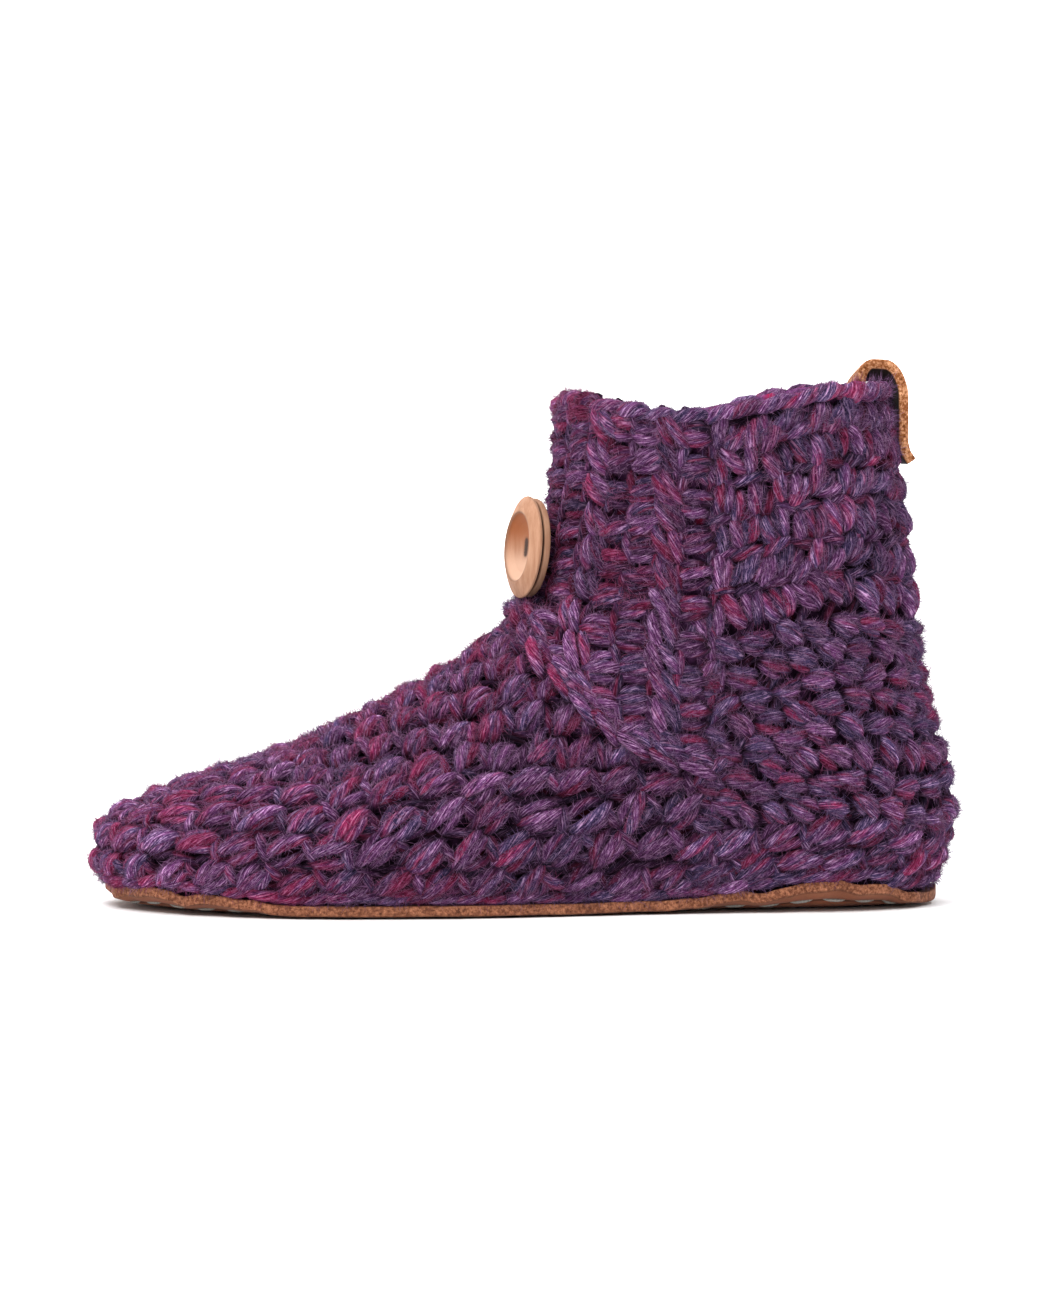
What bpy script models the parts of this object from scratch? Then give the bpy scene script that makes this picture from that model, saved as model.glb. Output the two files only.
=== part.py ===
"""Crocheted wool slipper boot: leather sole, felt insole, wool upper, front flap, wooden button, pull loop.

A left shoe. The toe points to -X and the heel to +X, the outer side of the foot faces -Y, and the sole
stands on z = 0. Tables and functions work in millimetres, meshes are written in metres.
"""

import math

import bmesh
import bpy
import numpy as np
from mathutils import Matrix, Vector

MM = 0.001
FIT_GAP = 0.3
BOX_MIDDLE = np.array([0.5, 0.4, 0.0])

# The wool wall. Each row is a level section: its foremost and rearmost X, the half widths of its fore and
# rear lobes, and how far behind the front and ahead of the back these half widths are reached.
WALL = 5.0
SECTION_COLUMNS = ("height", "front", "back", "fore", "rear", "nose", "cap")
SECTIONS = (
    (1.0, -121.5, 121.2, 44.0, 33.5, 72.0, 40.0),
    (6.0, -125.2, 123.8, 46.5, 35.5, 74.0, 42.0),
    (15.0, -129.6, 126.6, 49.3, 37.3, 78.0, 44.0),
    (23.0, -128.0, 129.0, 49.3, 38.0, 82.0, 44.0),
    (29.5, -120.0, 129.8, 48.3, 38.2, 92.0, 44.0),
    (37.8, -100.0, 128.5, 46.0, 37.8, 97.0, 44.0),
    (47.0, -71.0, 126.0, 42.2, 37.2, 87.0, 44.0),
    (59.0, -46.5, 122.4, 39.0, 36.6, 75.0, 45.0),
    (72.5, -21.5, 119.3, 37.5, 36.0, 62.0, 46.0),
    (82.0, -8.0, 118.4, 37.0, 36.0, 56.0, 46.5),
    (86.5, -0.5, 117.9, 37.0, 36.0, 52.0, 47.0),
    (92.0, 5.8, 117.2, 37.0, 36.0, 50.0, 47.0),
    (104.0, 8.6, 115.9, 37.3, 36.4, 48.0, 48.0),
    (122.0, 11.6, 113.3, 38.0, 37.0, 48.0, 48.0),
    (156.0, 14.4, 108.8, 39.5, 38.5, 47.0, 47.0),
)
BALL_X = -35.0
HEEL_X = 65.0
TOE_SWING = 6.0
SWING_FROM_X = -15.0
SWING_RUN = 115.0
ARCH_DEPTH = 5.0
ARCH_X = 22.0
ARCH_HALF_LENGTH = 60.0
ARCH_TOP = 55.0

# Rounds of crochet, from the sole up.
FOOT_ROUNDS = 8
FOOT_PITCH = 10.5
SHAFT_ROUNDS = 6
SHAFT_PITCH = 10.9
FIRST_ROUND_HEIGHT = 4.0
STITCHES = 40
STITCH_RELIEF = 1.5
LIFT_FADE_ROUNDS = 3.0
COLLAR_FADE_ROUNDS = 5.0
RIM_ROUND = 1.2
COLLAR_COLUMNS = ("share", "height")
COLLAR = (
    (0.0, 149.0),
    (0.15, 149.0),
    (0.38, 146.6),
    (0.52, 149.6),
    (0.75, 155.0),
    (0.9, 154.7),
    (1.0, 152.9),
)
INNER_LEVELS = (14.0, 12.0, 10.0, 8.8, 7.6, 6.2, 4.8, 3.4, 2.0, 0.9)

# Leather outsole. Its margin curls up by a lift, given from the toe tip (share 0) to the heel (share 1).
LEATHER = 3.2
SOLE_PLAN_HEIGHT = 6.0
SOLE_MARGIN = 14.0
SOLE_STEPS = (0.0, 2.0, 4.5, 8.0, 14.0)
EDGE_COLUMNS = ("share", "lift")
EDGE = (
    (0.0, 3.2),
    (0.1, 3.6),
    (0.2, 2.2),
    (0.28, 0.3),
    (0.55, 0.3),
    (0.65, 0.8),
    (0.72, 2.6),
    (0.78, 4.4),
    (0.85, 5.6),
    (0.9, 1.8),
    (0.94, 0.6),
    (1.0, 1.6),
)
PUCKERS = 20
PUCKER_SHARE = 0.18
WALL_SET_IN = 0.8

# Felt insole.
FELT = 3.0
FELT_CLEARANCE = 0.6
FELT_STEPS = (0.0, 2.5, 7.5)

# Front flap. Across it runs t: 0 on the front line, 1 at the seam on the outer side of the foot.
SEAM_X = 50.6
NOTCH_HEIGHT = 86.5
FLAP_COLUMNS = ("across", "foot", "top")
FLAP = (
    (0.0, 87.0, 147.4),
    (0.12, 81.0, 150.8),
    (0.25, 74.5, 152.6),
    (0.5, 62.5, 150.6),
    (0.85, 45.0, 147.6),
    (1.0, 41.2, 147.0),
)
FLAP_THICKNESS = 3.7
FLAP_SEAM_THICKNESS = 1.6
FLAP_RIDGES = (0.53, 0.867)
FLAP_RIDGE_RAISE = 1.2
FLAP_RIDGE_HALF_WIDTH = 0.06
FLAP_HEM_RAISE = 0.9
FLAP_HEM_HEIGHT = 4.0
FLAP_HEM_FROM = 0.4
FLAP_INNER_END = 0.62
FLAP_NOTCH_CLEARANCE = 0.85
FLAP_NOTCH_REACH = 8.0
FLAP_CELLS_ACROSS = 20
FLAP_CELLS_BACK = 10
FLAP_CELLS_UP = 12

# Button: a row is a turned step, from the middle of the back round to the middle of the dish.
BUTTON_COLUMNS = ("radius", "height")
BUTTON = (
    (0.0, 0.0),
    (14.1, 0.0),
    (14.8, 0.6),
    (14.8, 1.9),
    (13.6, 2.2),
    (13.6, 2.7),
    (15.2, 2.9),
    (15.2, 3.3),
    (10.9, 5.4),
    (10.3, 5.4),
    (9.4, 4.3),
    (7.4, 3.1),
    (4.5, 2.5),
    (0.0, 2.3),
)
BUTTON_STEPS = 36
BUTTON_HEIGHT = 106.0
BUTTON_ACROSS = 0.146
BUTTON_DENT = 1.4
BUTTON_DENT_FULL = 15.0
BUTTON_DENT_REACH = 23.0
BUTTON_TURN = math.radians(16.0)
BUTTON_TILT = math.radians(5.0)
BUTTON_HOLE_RADIUS = 0.95
BUTTON_HOLE_OFFSET = 1.4

# Pull loop: the middle line of the strap, from inside the shaft over the collar to its cut end outside.
STRAP = 3.3
STRAP_WIDTH = 15.0
LOOP_COLUMNS = ("x", "height")
LOOP = (
    (103.4, 132.0),
    (102.6, 140.0),
    (101.2, 148.0),
    (100.4, 154.5),
    (101.0, 159.0),
    (103.9, 161.8),
    (108.1, 161.6),
    (111.8, 158.2),
    (113.4, 152.0),
    (113.4, 145.0),
    (113.3, 139.0),
    (114.0, 135.4),
    (115.8, 132.4),
)
LOOP_CELLS = 30


def smooth_columns(rows, at):
    """Every column of a table at these values of its first, by a cubic that doesn't overshoot the rows."""
    table = np.array(rows)
    key = table[:, 0]
    at = np.clip(np.asarray(at, float), key[0], key[-1])
    index = np.clip(np.searchsorted(key, at) - 1, 0, len(key) - 2)
    span = key[index + 1] - key[index]
    along = (at - key[index]) / span
    found = []
    for column in table.T[1:]:
        slope = np.diff(column) / np.diff(key)
        before, after = slope[:-1], slope[1:]
        middle = np.where(before * after > 0, 2 * before * after / (before + after + 1e-12), 0.0)
        tangent = np.concatenate([slope[:1], middle, slope[-1:]])
        low, high = column[index], column[index + 1]
        rise_low, rise_high = tangent[index] * span, tangent[index + 1] * span
        found.append(
            low * (1 + 2 * along) * (1 - along) ** 2
            + rise_low * along * (1 - along) ** 2
            + high * along**2 * (3 - 2 * along)
            + rise_high * along**2 * (along - 1)
        )
    return found


def smooth_step(value):
    """0 below 0, 1 above 1, and an even S between."""
    value = np.clip(value, 0.0, 1.0)
    return value * value * (3 - 2 * value)


def middle_line(x):
    """Y of the foot's middle line, which swings to the inner side at the toes."""
    return TOE_SWING * np.clip((SWING_FROM_X - x) / SWING_RUN, 0.0, 1.0) ** 2


def width_squared(x, z, side):
    """Half width of the foot at (x, z), squared, and below 0 outside it. side is -1 outer, 1 inner."""
    front, back, fore, rear, nose, cap = smooth_columns(SECTIONS, z)
    lobe = fore + (rear - fore) * smooth_step((x - BALL_X) / (HEEL_X - BALL_X))
    arch = np.clip(1 - ((x - ARCH_X) / ARCH_HALF_LENGTH) ** 2, 0.0, 1.0) ** 2
    arch = arch * np.clip(1 - z / ARCH_TOP, 0.0, 1.0)
    lobe = lobe - ARCH_DEPTH * arch * (np.asarray(side) > 0)
    to_nose = np.minimum((x - front) / nose, 1.0)
    to_cap = np.minimum((back - x) / cap, 1.0)
    return lobe**2 * to_nose * (2 - to_nose) * to_cap * (2 - to_cap)


def on_form(x, z, side):
    """Points on the foot's form at side coordinates (x, z)."""
    half_width = np.sqrt(np.maximum(width_squared(x, z, side), 0.0))
    return np.stack([x, middle_line(x) + side * half_width, z], axis=-1)


def outward(points, side):
    """Unit normals of the form at points on it, from the slopes of the squared half width."""
    x, y, z = points[..., 0], points[..., 1], points[..., 2]
    step = 0.02
    slope_x = (width_squared(x + step, z, side) - width_squared(x - step, z, side)) / (2 * step)
    slope_z = (width_squared(x, z + step, side) - width_squared(x, z - step, side)) / (2 * step)
    swing = (middle_line(x + step) - middle_line(x - step)) / (2 * step)
    off_middle = y - middle_line(x)
    normal = np.stack([-slope_x - 2 * off_middle * swing, 2 * off_middle, -slope_z], axis=-1)
    return normal / np.linalg.norm(normal, axis=-1, keepdims=True)


def length_share(z, side, share):
    """How far along X a point lies that has gone this share of the way round a level section."""
    turn = np.linspace(0.0, math.pi, 241)
    front, back = smooth_columns(SECTIONS, z)[:2]
    along = (1 - np.cos(turn)) / 2
    points = on_form(front + (back - front) * along, np.full_like(turn, z), side)
    gone = np.concatenate([[0.0], np.cumsum(np.linalg.norm(np.diff(points, axis=0), axis=1))])
    return (1 - np.cos(np.interp(share, gone / gone[-1], turn))) / 2


def around():
    """Side and share of each point of a ring: outer side from toe to heel, inner side back to the toe."""
    half = STITCHES
    share = np.concatenate([np.arange(half + 1), np.arange(half - 1, 0, -1)]) / half
    side = np.concatenate([-np.ones(half + 1), np.ones(half - 1)])
    return side, share


def edge_lift(share):
    """Lift of the leather's edge above the floor, with puckers between the sewing stitches."""
    lift = smooth_columns(EDGE, share)[0]
    return lift * (1 + PUCKER_SHARE * np.cos(2 * math.pi * PUCKERS / 2 * share))


def sole_ring(inset, above):
    """A ring on the leather, this far in from its edge and this far above its underside."""
    side, share = around()
    z = np.full_like(share, SOLE_PLAN_HEIGHT)
    front, back = smooth_columns(SECTIONS, SOLE_PLAN_HEIGHT)[:2]
    outer = length_share(SOLE_PLAN_HEIGHT, -1, share)
    inner = length_share(SOLE_PLAN_HEIGHT, 1, share)
    points = on_form(front + (back - front) * np.where(side < 0, outer, inner), z, side)
    normal = outward(points, side)[:, :2]
    points[:, :2] -= inset * normal / np.linalg.norm(normal, axis=1, keepdims=True)
    points[:, 2] = above + edge_lift(share) * max(1 - inset / SOLE_MARGIN, 0.0) ** 2
    return points


def round_height(level, share):
    """Height of a round of crochet: even rounds, lifted by the sole's edge and fitted to the collar."""
    foot = min(level, FOOT_ROUNDS)
    rise = FIRST_ROUND_HEIGHT + FOOT_PITCH * foot + SHAFT_PITCH * (level - foot)
    top = FIRST_ROUND_HEIGHT + FOOT_PITCH * FOOT_ROUNDS + SHAFT_PITCH * SHAFT_ROUNDS
    lift = smooth_columns(EDGE, share)[0] * max(1 - level / LIFT_FADE_ROUNDS, 0.0)
    below_collar = FOOT_ROUNDS + SHAFT_ROUNDS - level
    near_collar = smooth_step(1 - below_collar / COLLAR_FADE_ROUNDS)
    return rise + lift + (smooth_columns(COLLAR, share)[0] - top) * near_collar


def wall_ring(level, inset):
    """A ring of the wool wall at a round, set in from the form along its normals."""
    side, share = around()
    z = round_height(level, share)
    mean = float(np.mean(z))
    along = np.where(side < 0, length_share(mean, -1, share), length_share(mean, 1, share))
    front, back = smooth_columns(SECTIONS, z)[:2]
    points = on_form(front + (back - front) * along, z, side)
    return points - np.asarray(inset)[..., None] * outward(points, side)


def stitch_relief(level):
    """How deep a ring lies below the stitches' tops: all of it between rounds, else every other point."""
    count = 2 * STITCHES
    if level == int(level):
        return np.full(count, STITCH_RELIEF)
    return STITCH_RELIEF * 0.55 * ((np.arange(count) + int(level)) % 2)


def tube_faces(rings, around_count):
    """Quads of a tube whose rings close on themselves and whose last ring joins the first."""
    faces = []
    for row in range(rings):
        for column in range(around_count):
            here, after = row * around_count, (row + 1) % rings * around_count
            turn = (column + 1) % around_count
            faces.append((here + column, here + turn, after + turn, after + column))
    return faces


def stacked_faces(rings, around_count):
    """Quads of a stack of rings, capped at both ends by one flat face each."""
    faces = tube_faces(rings, around_count)[: (rings - 1) * around_count]
    faces.append(tuple(range(around_count)))
    faces.append(tuple(range((rings - 1) * around_count, rings * around_count)))
    return faces


def sheet_faces(rows, columns):
    """Quads of a sheet with an outer and an inner side of rows x columns points, joined at the border."""
    faces = []
    second = rows * columns
    for row in range(rows - 1):
        for column in range(columns - 1):
            quad = [row * columns + column, row * columns + column + 1]
            quad += [(row + 1) * columns + column + 1, (row + 1) * columns + column]
            faces.append(tuple(quad))
            faces.append(tuple(second + corner for corner in reversed(quad)))
    border = [column for column in range(columns)]
    border += [row * columns + columns - 1 for row in range(1, rows)]
    border += [(rows - 1) * columns + column for column in range(columns - 2, -1, -1)]
    border += [row * columns for row in range(rows - 2, 0, -1)]
    for here, after in zip(border, border[1:] + border[:1]):
        faces.append((here, second + here, second + after, after))
    return faces


def plain_material(name, colour, roughness, metallic=0.0):
    material = bpy.data.materials.new(name)
    material.use_nodes = True
    shader = material.node_tree.nodes["Principled BSDF"]
    shader.inputs["Base Color"].default_value = (*colour, 1.0)
    shader.inputs["Roughness"].default_value = roughness
    shader.inputs["Metallic"].default_value = metallic
    material.diffuse_color = (*colour, 1.0)
    return material


def solid(name, points, faces, material, collection):
    """A mesh object from points in millimetres, moved to the middle of the whole box, facing outward."""
    mesh = bpy.data.meshes.new(name)
    mesh.from_pydata([tuple(point) for point in (np.asarray(points) - BOX_MIDDLE) * MM], [], faces)
    work = bmesh.new()
    work.from_mesh(mesh)
    bmesh.ops.recalc_face_normals(work, faces=work.faces)
    work.to_mesh(mesh)
    work.free()
    mesh.materials.append(material)
    made = bpy.data.objects.new(name, mesh)
    collection.objects.link(made)
    return made


def flap_form(across, height, side):
    """Points of the form under the flap: columns upright below the notch, along the front line above it."""
    front = smooth_columns(SECTIONS, np.maximum(height, NOTCH_HEIGHT))[0]
    return on_form(front + (SEAM_X - front) * across**2, height, side)


def button_line():
    """The point of the form behind the button's middle, and the button's axis."""
    level = math.cos(BUTTON_TILT)
    axis = np.array([-level * math.cos(BUTTON_TURN), -level * math.sin(BUTTON_TURN), math.sin(BUTTON_TILT)])
    middle = flap_form(np.array([BUTTON_ACROSS]), np.array([BUTTON_HEIGHT]), np.array([-1.0]))[0]
    return middle, axis


def from_button(points):
    """How far points lie ahead of the button's middle along its axis, and aside from that axis."""
    middle, axis = button_line()
    ahead = (points - middle) @ axis
    return ahead, np.linalg.norm(points - middle - ahead[..., None] * axis, axis=-1)


def flap_thickness(across, above_foot, points):
    """Even thickness with ridges and a raised hem, thin at the seam and pressed in under the button."""
    ridge = sum(np.exp(-(((across - at) / FLAP_RIDGE_HALF_WIDTH) ** 2)) for at in FLAP_RIDGES)
    hem = np.exp(-((above_foot / FLAP_HEM_HEIGHT) ** 2)) * smooth_step(across / FLAP_HEM_FROM)
    thin = smooth_step((across - 0.9) / 0.1)
    aside = from_button(points)[1]
    dent = smooth_step((BUTTON_DENT_REACH - aside) / (BUTTON_DENT_REACH - BUTTON_DENT_FULL))
    thick = FLAP_THICKNESS + FLAP_RIDGE_RAISE * ridge + FLAP_HEM_RAISE * hem - BUTTON_DENT * dent
    return thick + (FLAP_SEAM_THICKNESS - thick) * thin


def flap_layers():
    """Outer and inner points of the flap, from the seam round the front to its end on the inner side."""
    outer_side = np.linspace(1.0, 0.0, FLAP_CELLS_ACROSS + 1)
    inner_side = np.linspace(0.0, FLAP_INNER_END, FLAP_CELLS_BACK + 1)[1:]
    across = np.concatenate([outer_side, inner_side])
    side = np.concatenate([-np.ones_like(outer_side), np.ones_like(inner_side)])
    foot, top = smooth_columns(FLAP, across)
    up = np.linspace(0.0, 1.0, FLAP_CELLS_UP + 1)[:, None]
    height = foot + (top - foot) * up
    grid_across = np.broadcast_to(across, height.shape)
    grid_side = np.broadcast_to(side, height.shape)
    points = flap_form(grid_across, height, grid_side)
    normal = outward(points, grid_side)
    near_notch = np.exp(-(((height - NOTCH_HEIGHT) / FLAP_NOTCH_REACH) ** 2))
    clear = FIT_GAP + FLAP_NOTCH_CLEARANCE * near_notch
    thick = clear + flap_thickness(grid_across, height - foot, points)
    return points + thick[..., None] * normal, points + clear[..., None] * normal


def build_outsole(material, collection):
    rings = [sole_ring(inset, 0.0) for inset in reversed(SOLE_STEPS)]
    rings += [sole_ring(inset, LEATHER) for inset in SOLE_STEPS]
    faces = stacked_faces(len(rings), 2 * STITCHES)
    return solid("outsole", np.concatenate(rings), faces, material, collection)


def build_insole(material, collection):
    rim = WALL_SET_IN + WALL + FELT_CLEARANCE
    rings = [sole_ring(rim + inset, LEATHER + FIT_GAP) for inset in reversed(FELT_STEPS)]
    rings += [sole_ring(rim + inset, LEATHER + FIT_GAP + FELT) for inset in FELT_STEPS]
    faces = stacked_faces(len(rings), 2 * STITCHES)
    return solid("insole", np.concatenate(rings), faces, material, collection)


def build_upper(material, collection):
    levels = [step / 2 for step in range(1, 2 * (FOOT_ROUNDS + SHAFT_ROUNDS) + 1)]
    rings = [sole_ring(WALL_SET_IN, LEATHER + FIT_GAP)]
    rings += [wall_ring(level, stitch_relief(level)) for level in levels[:-1]]
    count = 2 * STITCHES
    rings.append(wall_ring(levels[-1], np.full(count, 0.4)))
    rim = wall_ring(levels[-1], np.full(count, WALL / 2))
    rim[:, 2] += RIM_ROUND
    rings.append(rim)
    rings += [wall_ring(level, np.full(count, WALL)) for level in INNER_LEVELS]
    rings.append(sole_ring(WALL_SET_IN + WALL, LEATHER + FIT_GAP))
    return solid("upper", np.concatenate(rings), tube_faces(len(rings), count), material, collection)


def build_flap(material, collection):
    outer, inner = flap_layers()
    rows, columns = outer.shape[:2]
    points = np.concatenate([outer.reshape(-1, 3), inner.reshape(-1, 3)])
    return solid("button_flap", points, sheet_faces(rows, columns), material, collection)


def with_midpoints(points):
    """A grid of points with the middle of each span added along both ways."""
    for _ in range(2):
        spread = np.repeat(points, 2, axis=0)[:-1]
        spread[1::2] = (points[:-1] + points[1:]) / 2
        points = np.swapaxes(spread, 0, 1)
    return points


def button_seat():
    """Middle of the button's back and its axis: it lies on the highest points of the flap behind it."""
    middle, axis = button_line()
    ahead, aside = from_button(with_midpoints(with_midpoints(flap_layers()[0])))
    reach = max(row[0] for row in BUTTON) + FIT_GAP
    return middle + axis * (ahead[aside < reach].max() + FIT_GAP), axis


def build_button(material, collection, cutters):
    mesh = bpy.data.meshes.new("button")
    profile = [(radius * MM, 0.0, height * MM) for radius, height in BUTTON]
    mesh.from_pydata(profile, [(step, step + 1) for step in range(len(profile) - 1)], [])
    mesh.materials.append(material)
    button = bpy.data.objects.new("button", mesh)
    collection.objects.link(button)
    turned = button.modifiers.new("turned", "SCREW")
    turned.axis = "Z"
    turned.steps = BUTTON_STEPS
    turned.render_steps = BUTTON_STEPS
    turned.use_merge_vertices = True
    turned.merge_threshold = 0.00005
    turned.use_normal_calculate = True
    seat, axis = button_seat()
    upright = Vector((0.0, 0.0, 1.0))
    out = Vector(axis)
    level = upright.cross(out).normalized()
    place = Matrix((level, out.cross(level), out)).transposed().to_4x4()
    place.translation = Vector(seat - BOX_MIDDLE) * MM
    button.matrix_world = place
    for name, offset in (("upper_hole", BUTTON_HOLE_OFFSET), ("lower_hole", -BUTTON_HOLE_OFFSET)):
        work = bmesh.new()
        bmesh.ops.create_cone(
            work,
            cap_ends=True,
            segments=16,
            radius1=BUTTON_HOLE_RADIUS * MM,
            radius2=BUTTON_HOLE_RADIUS * MM,
            depth=20 * MM,
        )
        hole_mesh = bpy.data.meshes.new(name)
        work.to_mesh(hole_mesh)
        work.free()
        hole = bpy.data.objects.new(name, hole_mesh)
        cutters.objects.link(hole)
        hole.matrix_world = place @ Matrix.Translation((0.0, offset * MM, 0.0))
        hole.hide_render = True
        hole.display_type = "WIRE"
        drilled = button.modifiers.new(name, "BOOLEAN")
        drilled.operation = "DIFFERENCE"
        drilled.solver = "EXACT"
        drilled.object = hole
    return button


def build_loop(material, collection):
    path = np.array(LOOP)
    gone = np.concatenate([[0.0], np.cumsum(np.linalg.norm(np.diff(path, axis=0), axis=1))])
    keyed = [(at, x, z) for at, (x, z) in zip(gone, LOOP)]
    x, z = smooth_columns(keyed, np.linspace(0.0, gone[-1], LOOP_CELLS + 1))
    points = []
    faces = []
    for row in range(LOOP_CELLS + 1):
        points.append((x[row], -STRAP_WIDTH / 2, z[row]))
        points.append((x[row], STRAP_WIDTH / 2, z[row]))
        if row:
            faces.append((2 * row - 2, 2 * row - 1, 2 * row + 1, 2 * row))
    loop = solid("pull_loop", points, faces, material, collection)
    thick = loop.modifiers.new("thick", "SOLIDIFY")
    thick.thickness = STRAP * MM
    thick.offset = 0.0
    thick.use_even_offset = True
    return loop


def main():
    for old in list(bpy.data.objects):
        bpy.data.objects.remove(old, do_unlink=True)
    scene = bpy.context.scene
    parts = bpy.data.collections.new("slipper_boot")
    cutters = bpy.data.collections.new("cutters")
    scene.collection.children.link(parts)
    scene.collection.children.link(cutters)
    cutters.hide_render = True
    wool = plain_material("wool", (0.16, 0.07, 0.15), 0.95)
    band_wool = plain_material("band_wool", (0.20, 0.09, 0.17), 0.95)
    leather = plain_material("sole_leather", (0.42, 0.22, 0.10), 0.85)
    felt = plain_material("insole_felt", (0.35, 0.30, 0.30), 0.95)
    wood = plain_material("button_wood", (0.72, 0.47, 0.30), 0.5)
    strap = plain_material("loop_leather", (0.50, 0.26, 0.11), 0.8)
    build_outsole(leather, parts)
    build_insole(felt, parts)
    build_upper(wool, parts)
    build_flap(band_wool, parts)
    build_button(wood, parts, cutters)
    build_loop(strap, parts)


main()
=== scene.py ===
"""Looks of the crocheted slipper boot: wool yarn, leather, wood and felt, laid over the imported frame.

Tables and functions work in millimetres, in the part's own frame before it is moved to the middle of its
box. The toe points to -X, the outer side of the foot faces -Y, and the sole stands on z = 0.
"""

import math

import bpy
import numpy as np
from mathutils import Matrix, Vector


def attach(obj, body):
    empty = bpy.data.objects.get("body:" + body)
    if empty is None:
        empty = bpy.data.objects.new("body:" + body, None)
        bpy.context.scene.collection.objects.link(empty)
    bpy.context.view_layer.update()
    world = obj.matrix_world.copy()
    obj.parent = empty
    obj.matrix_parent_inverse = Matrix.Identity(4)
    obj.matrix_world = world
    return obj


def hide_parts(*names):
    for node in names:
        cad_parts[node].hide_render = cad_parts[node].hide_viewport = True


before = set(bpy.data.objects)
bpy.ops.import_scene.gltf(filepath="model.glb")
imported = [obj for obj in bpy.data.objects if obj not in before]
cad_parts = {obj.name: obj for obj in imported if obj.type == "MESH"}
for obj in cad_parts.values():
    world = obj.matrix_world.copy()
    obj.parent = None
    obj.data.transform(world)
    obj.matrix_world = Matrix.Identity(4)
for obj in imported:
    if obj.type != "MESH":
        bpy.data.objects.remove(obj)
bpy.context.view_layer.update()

MM = 0.001
BOX_MIDDLE = np.array([0.5, 0.4, 0.0])
UP = np.array([0.0, 0.0, 1.0])
chance = np.random.default_rng(41)

# The form of the foot. Each row is a level section: its height, its foremost and rearmost X, the half widths
# of its fore and rear lobes, and how far behind the front and ahead of the back these are reached.
SECTIONS = (
    (1.0, -121.5, 121.2, 44.0, 33.5, 72.0, 40.0),
    (6.0, -125.2, 123.8, 46.5, 35.5, 74.0, 42.0),
    (15.0, -129.6, 126.6, 49.3, 37.3, 78.0, 44.0),
    (23.0, -128.0, 129.0, 49.3, 38.0, 82.0, 44.0),
    (29.5, -120.0, 129.8, 48.3, 38.2, 92.0, 44.0),
    (37.8, -100.0, 128.5, 46.0, 37.8, 97.0, 44.0),
    (47.0, -71.0, 126.0, 42.2, 37.2, 87.0, 44.0),
    (59.0, -46.5, 122.4, 39.0, 36.6, 75.0, 45.0),
    (72.5, -21.5, 119.3, 37.5, 36.0, 62.0, 46.0),
    (82.0, -8.0, 118.4, 37.0, 36.0, 56.0, 46.5),
    (86.5, -0.5, 117.9, 37.0, 36.0, 52.0, 47.0),
    (92.0, 5.8, 117.2, 37.0, 36.0, 50.0, 47.0),
    (104.0, 8.6, 115.9, 37.3, 36.4, 48.0, 48.0),
    (122.0, 11.6, 113.3, 38.0, 37.0, 48.0, 48.0),
    (156.0, 14.4, 108.8, 39.5, 38.5, 47.0, 47.0),
)
BALL_X = -35.0
HEEL_X = 65.0
TOE_SWING = 6.0
SWING_FROM_X = -15.0
SWING_RUN = 115.0
ARCH_DEPTH = 5.0
ARCH_X = 22.0
ARCH_HALF_LENGTH = 60.0
ARCH_TOP = 55.0
# Collar: the share of the way round from front to back, and the height there.
COLLAR = (
    (0.0, 149.0), (0.15, 149.0), (0.38, 146.6), (0.52, 149.6), (0.75, 155.0), (0.9, 154.7), (1.0, 152.9),
)
COLLAR_LEVEL = 150.0
WALL = 5.0

# Leather sole and felt insole.
LEATHER = 3.2
FELT = 3.0
FIT_GAP = 0.3
FELT_RIM = 6.4
SOLE_PLAN_HEIGHT = 6.0
SOLE_MARGIN = 14.0
# Edge of the leather: the share of the way round from toe to heel, and its lift off the floor there.
EDGE = (
    (0.0, 3.2), (0.1, 3.6), (0.2, 2.2), (0.28, 0.3), (0.55, 0.3), (0.65, 0.8),
    (0.72, 2.6), (0.78, 4.4), (0.85, 5.6), (0.9, 1.8), (0.94, 0.6), (1.0, 1.6),
)
PUCKERS = 20
PUCKER_SHARE = 0.18
# Profile of that edge: inset from the outline, height above the underside, cut (1) or skin (0), and painted
# shade: below 1 darker in the stitch groove, in the crease under the lip and on top, above 1 painted light
# on the underside.
SOLE_EDGE = (
    (14.0, 0.0, 0.0, 1.3),
    (10.0, 0.0, 0.0, 1.4),
    (7.0, 0.0, 0.0, 1.4),
    (5.2, 0.0, 0.0, 1.2),
    (4.6, 0.3, 0.0, 0.35),
    (4.2, 0.5, 0.0, 0.3),
    (3.8, 0.3, 0.0, 0.4),
    (3.2, 0.0, 0.0, 1.0),
    (1.6, 0.0, 0.0, 1.1),
    (0.2, 0.0, 0.0, 1.0),
    (-0.2, 0.04, 0.2, 0.6),
    (-0.4, 0.2, 1.0, 0.75),
    (-0.5, 0.5, 1.0, 1.0),
    (-0.5, 1.2, 1.0, 1.0),
    (-0.5, 2.0, 1.0, 1.0),
    (-0.5, 2.7, 1.0, 1.0),
    (-0.4, 3.0, 1.0, 1.0),
    (-0.2, 3.16, 0.6, 1.0),
    (0.4, 3.2, 0.2, 1.0),
    (2.0, 3.2, 0.0, 0.8),
    (6.0, 3.2, 0.0, 0.5),
    (14.0, 3.2, 0.0, 0.5),
)
SOLE_STEPS_ROUND = 180
SOLE_THREAD = 0.5
SOLE_STITCH_INSET = 4.2
SOLE_STITCHES = 56

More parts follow.
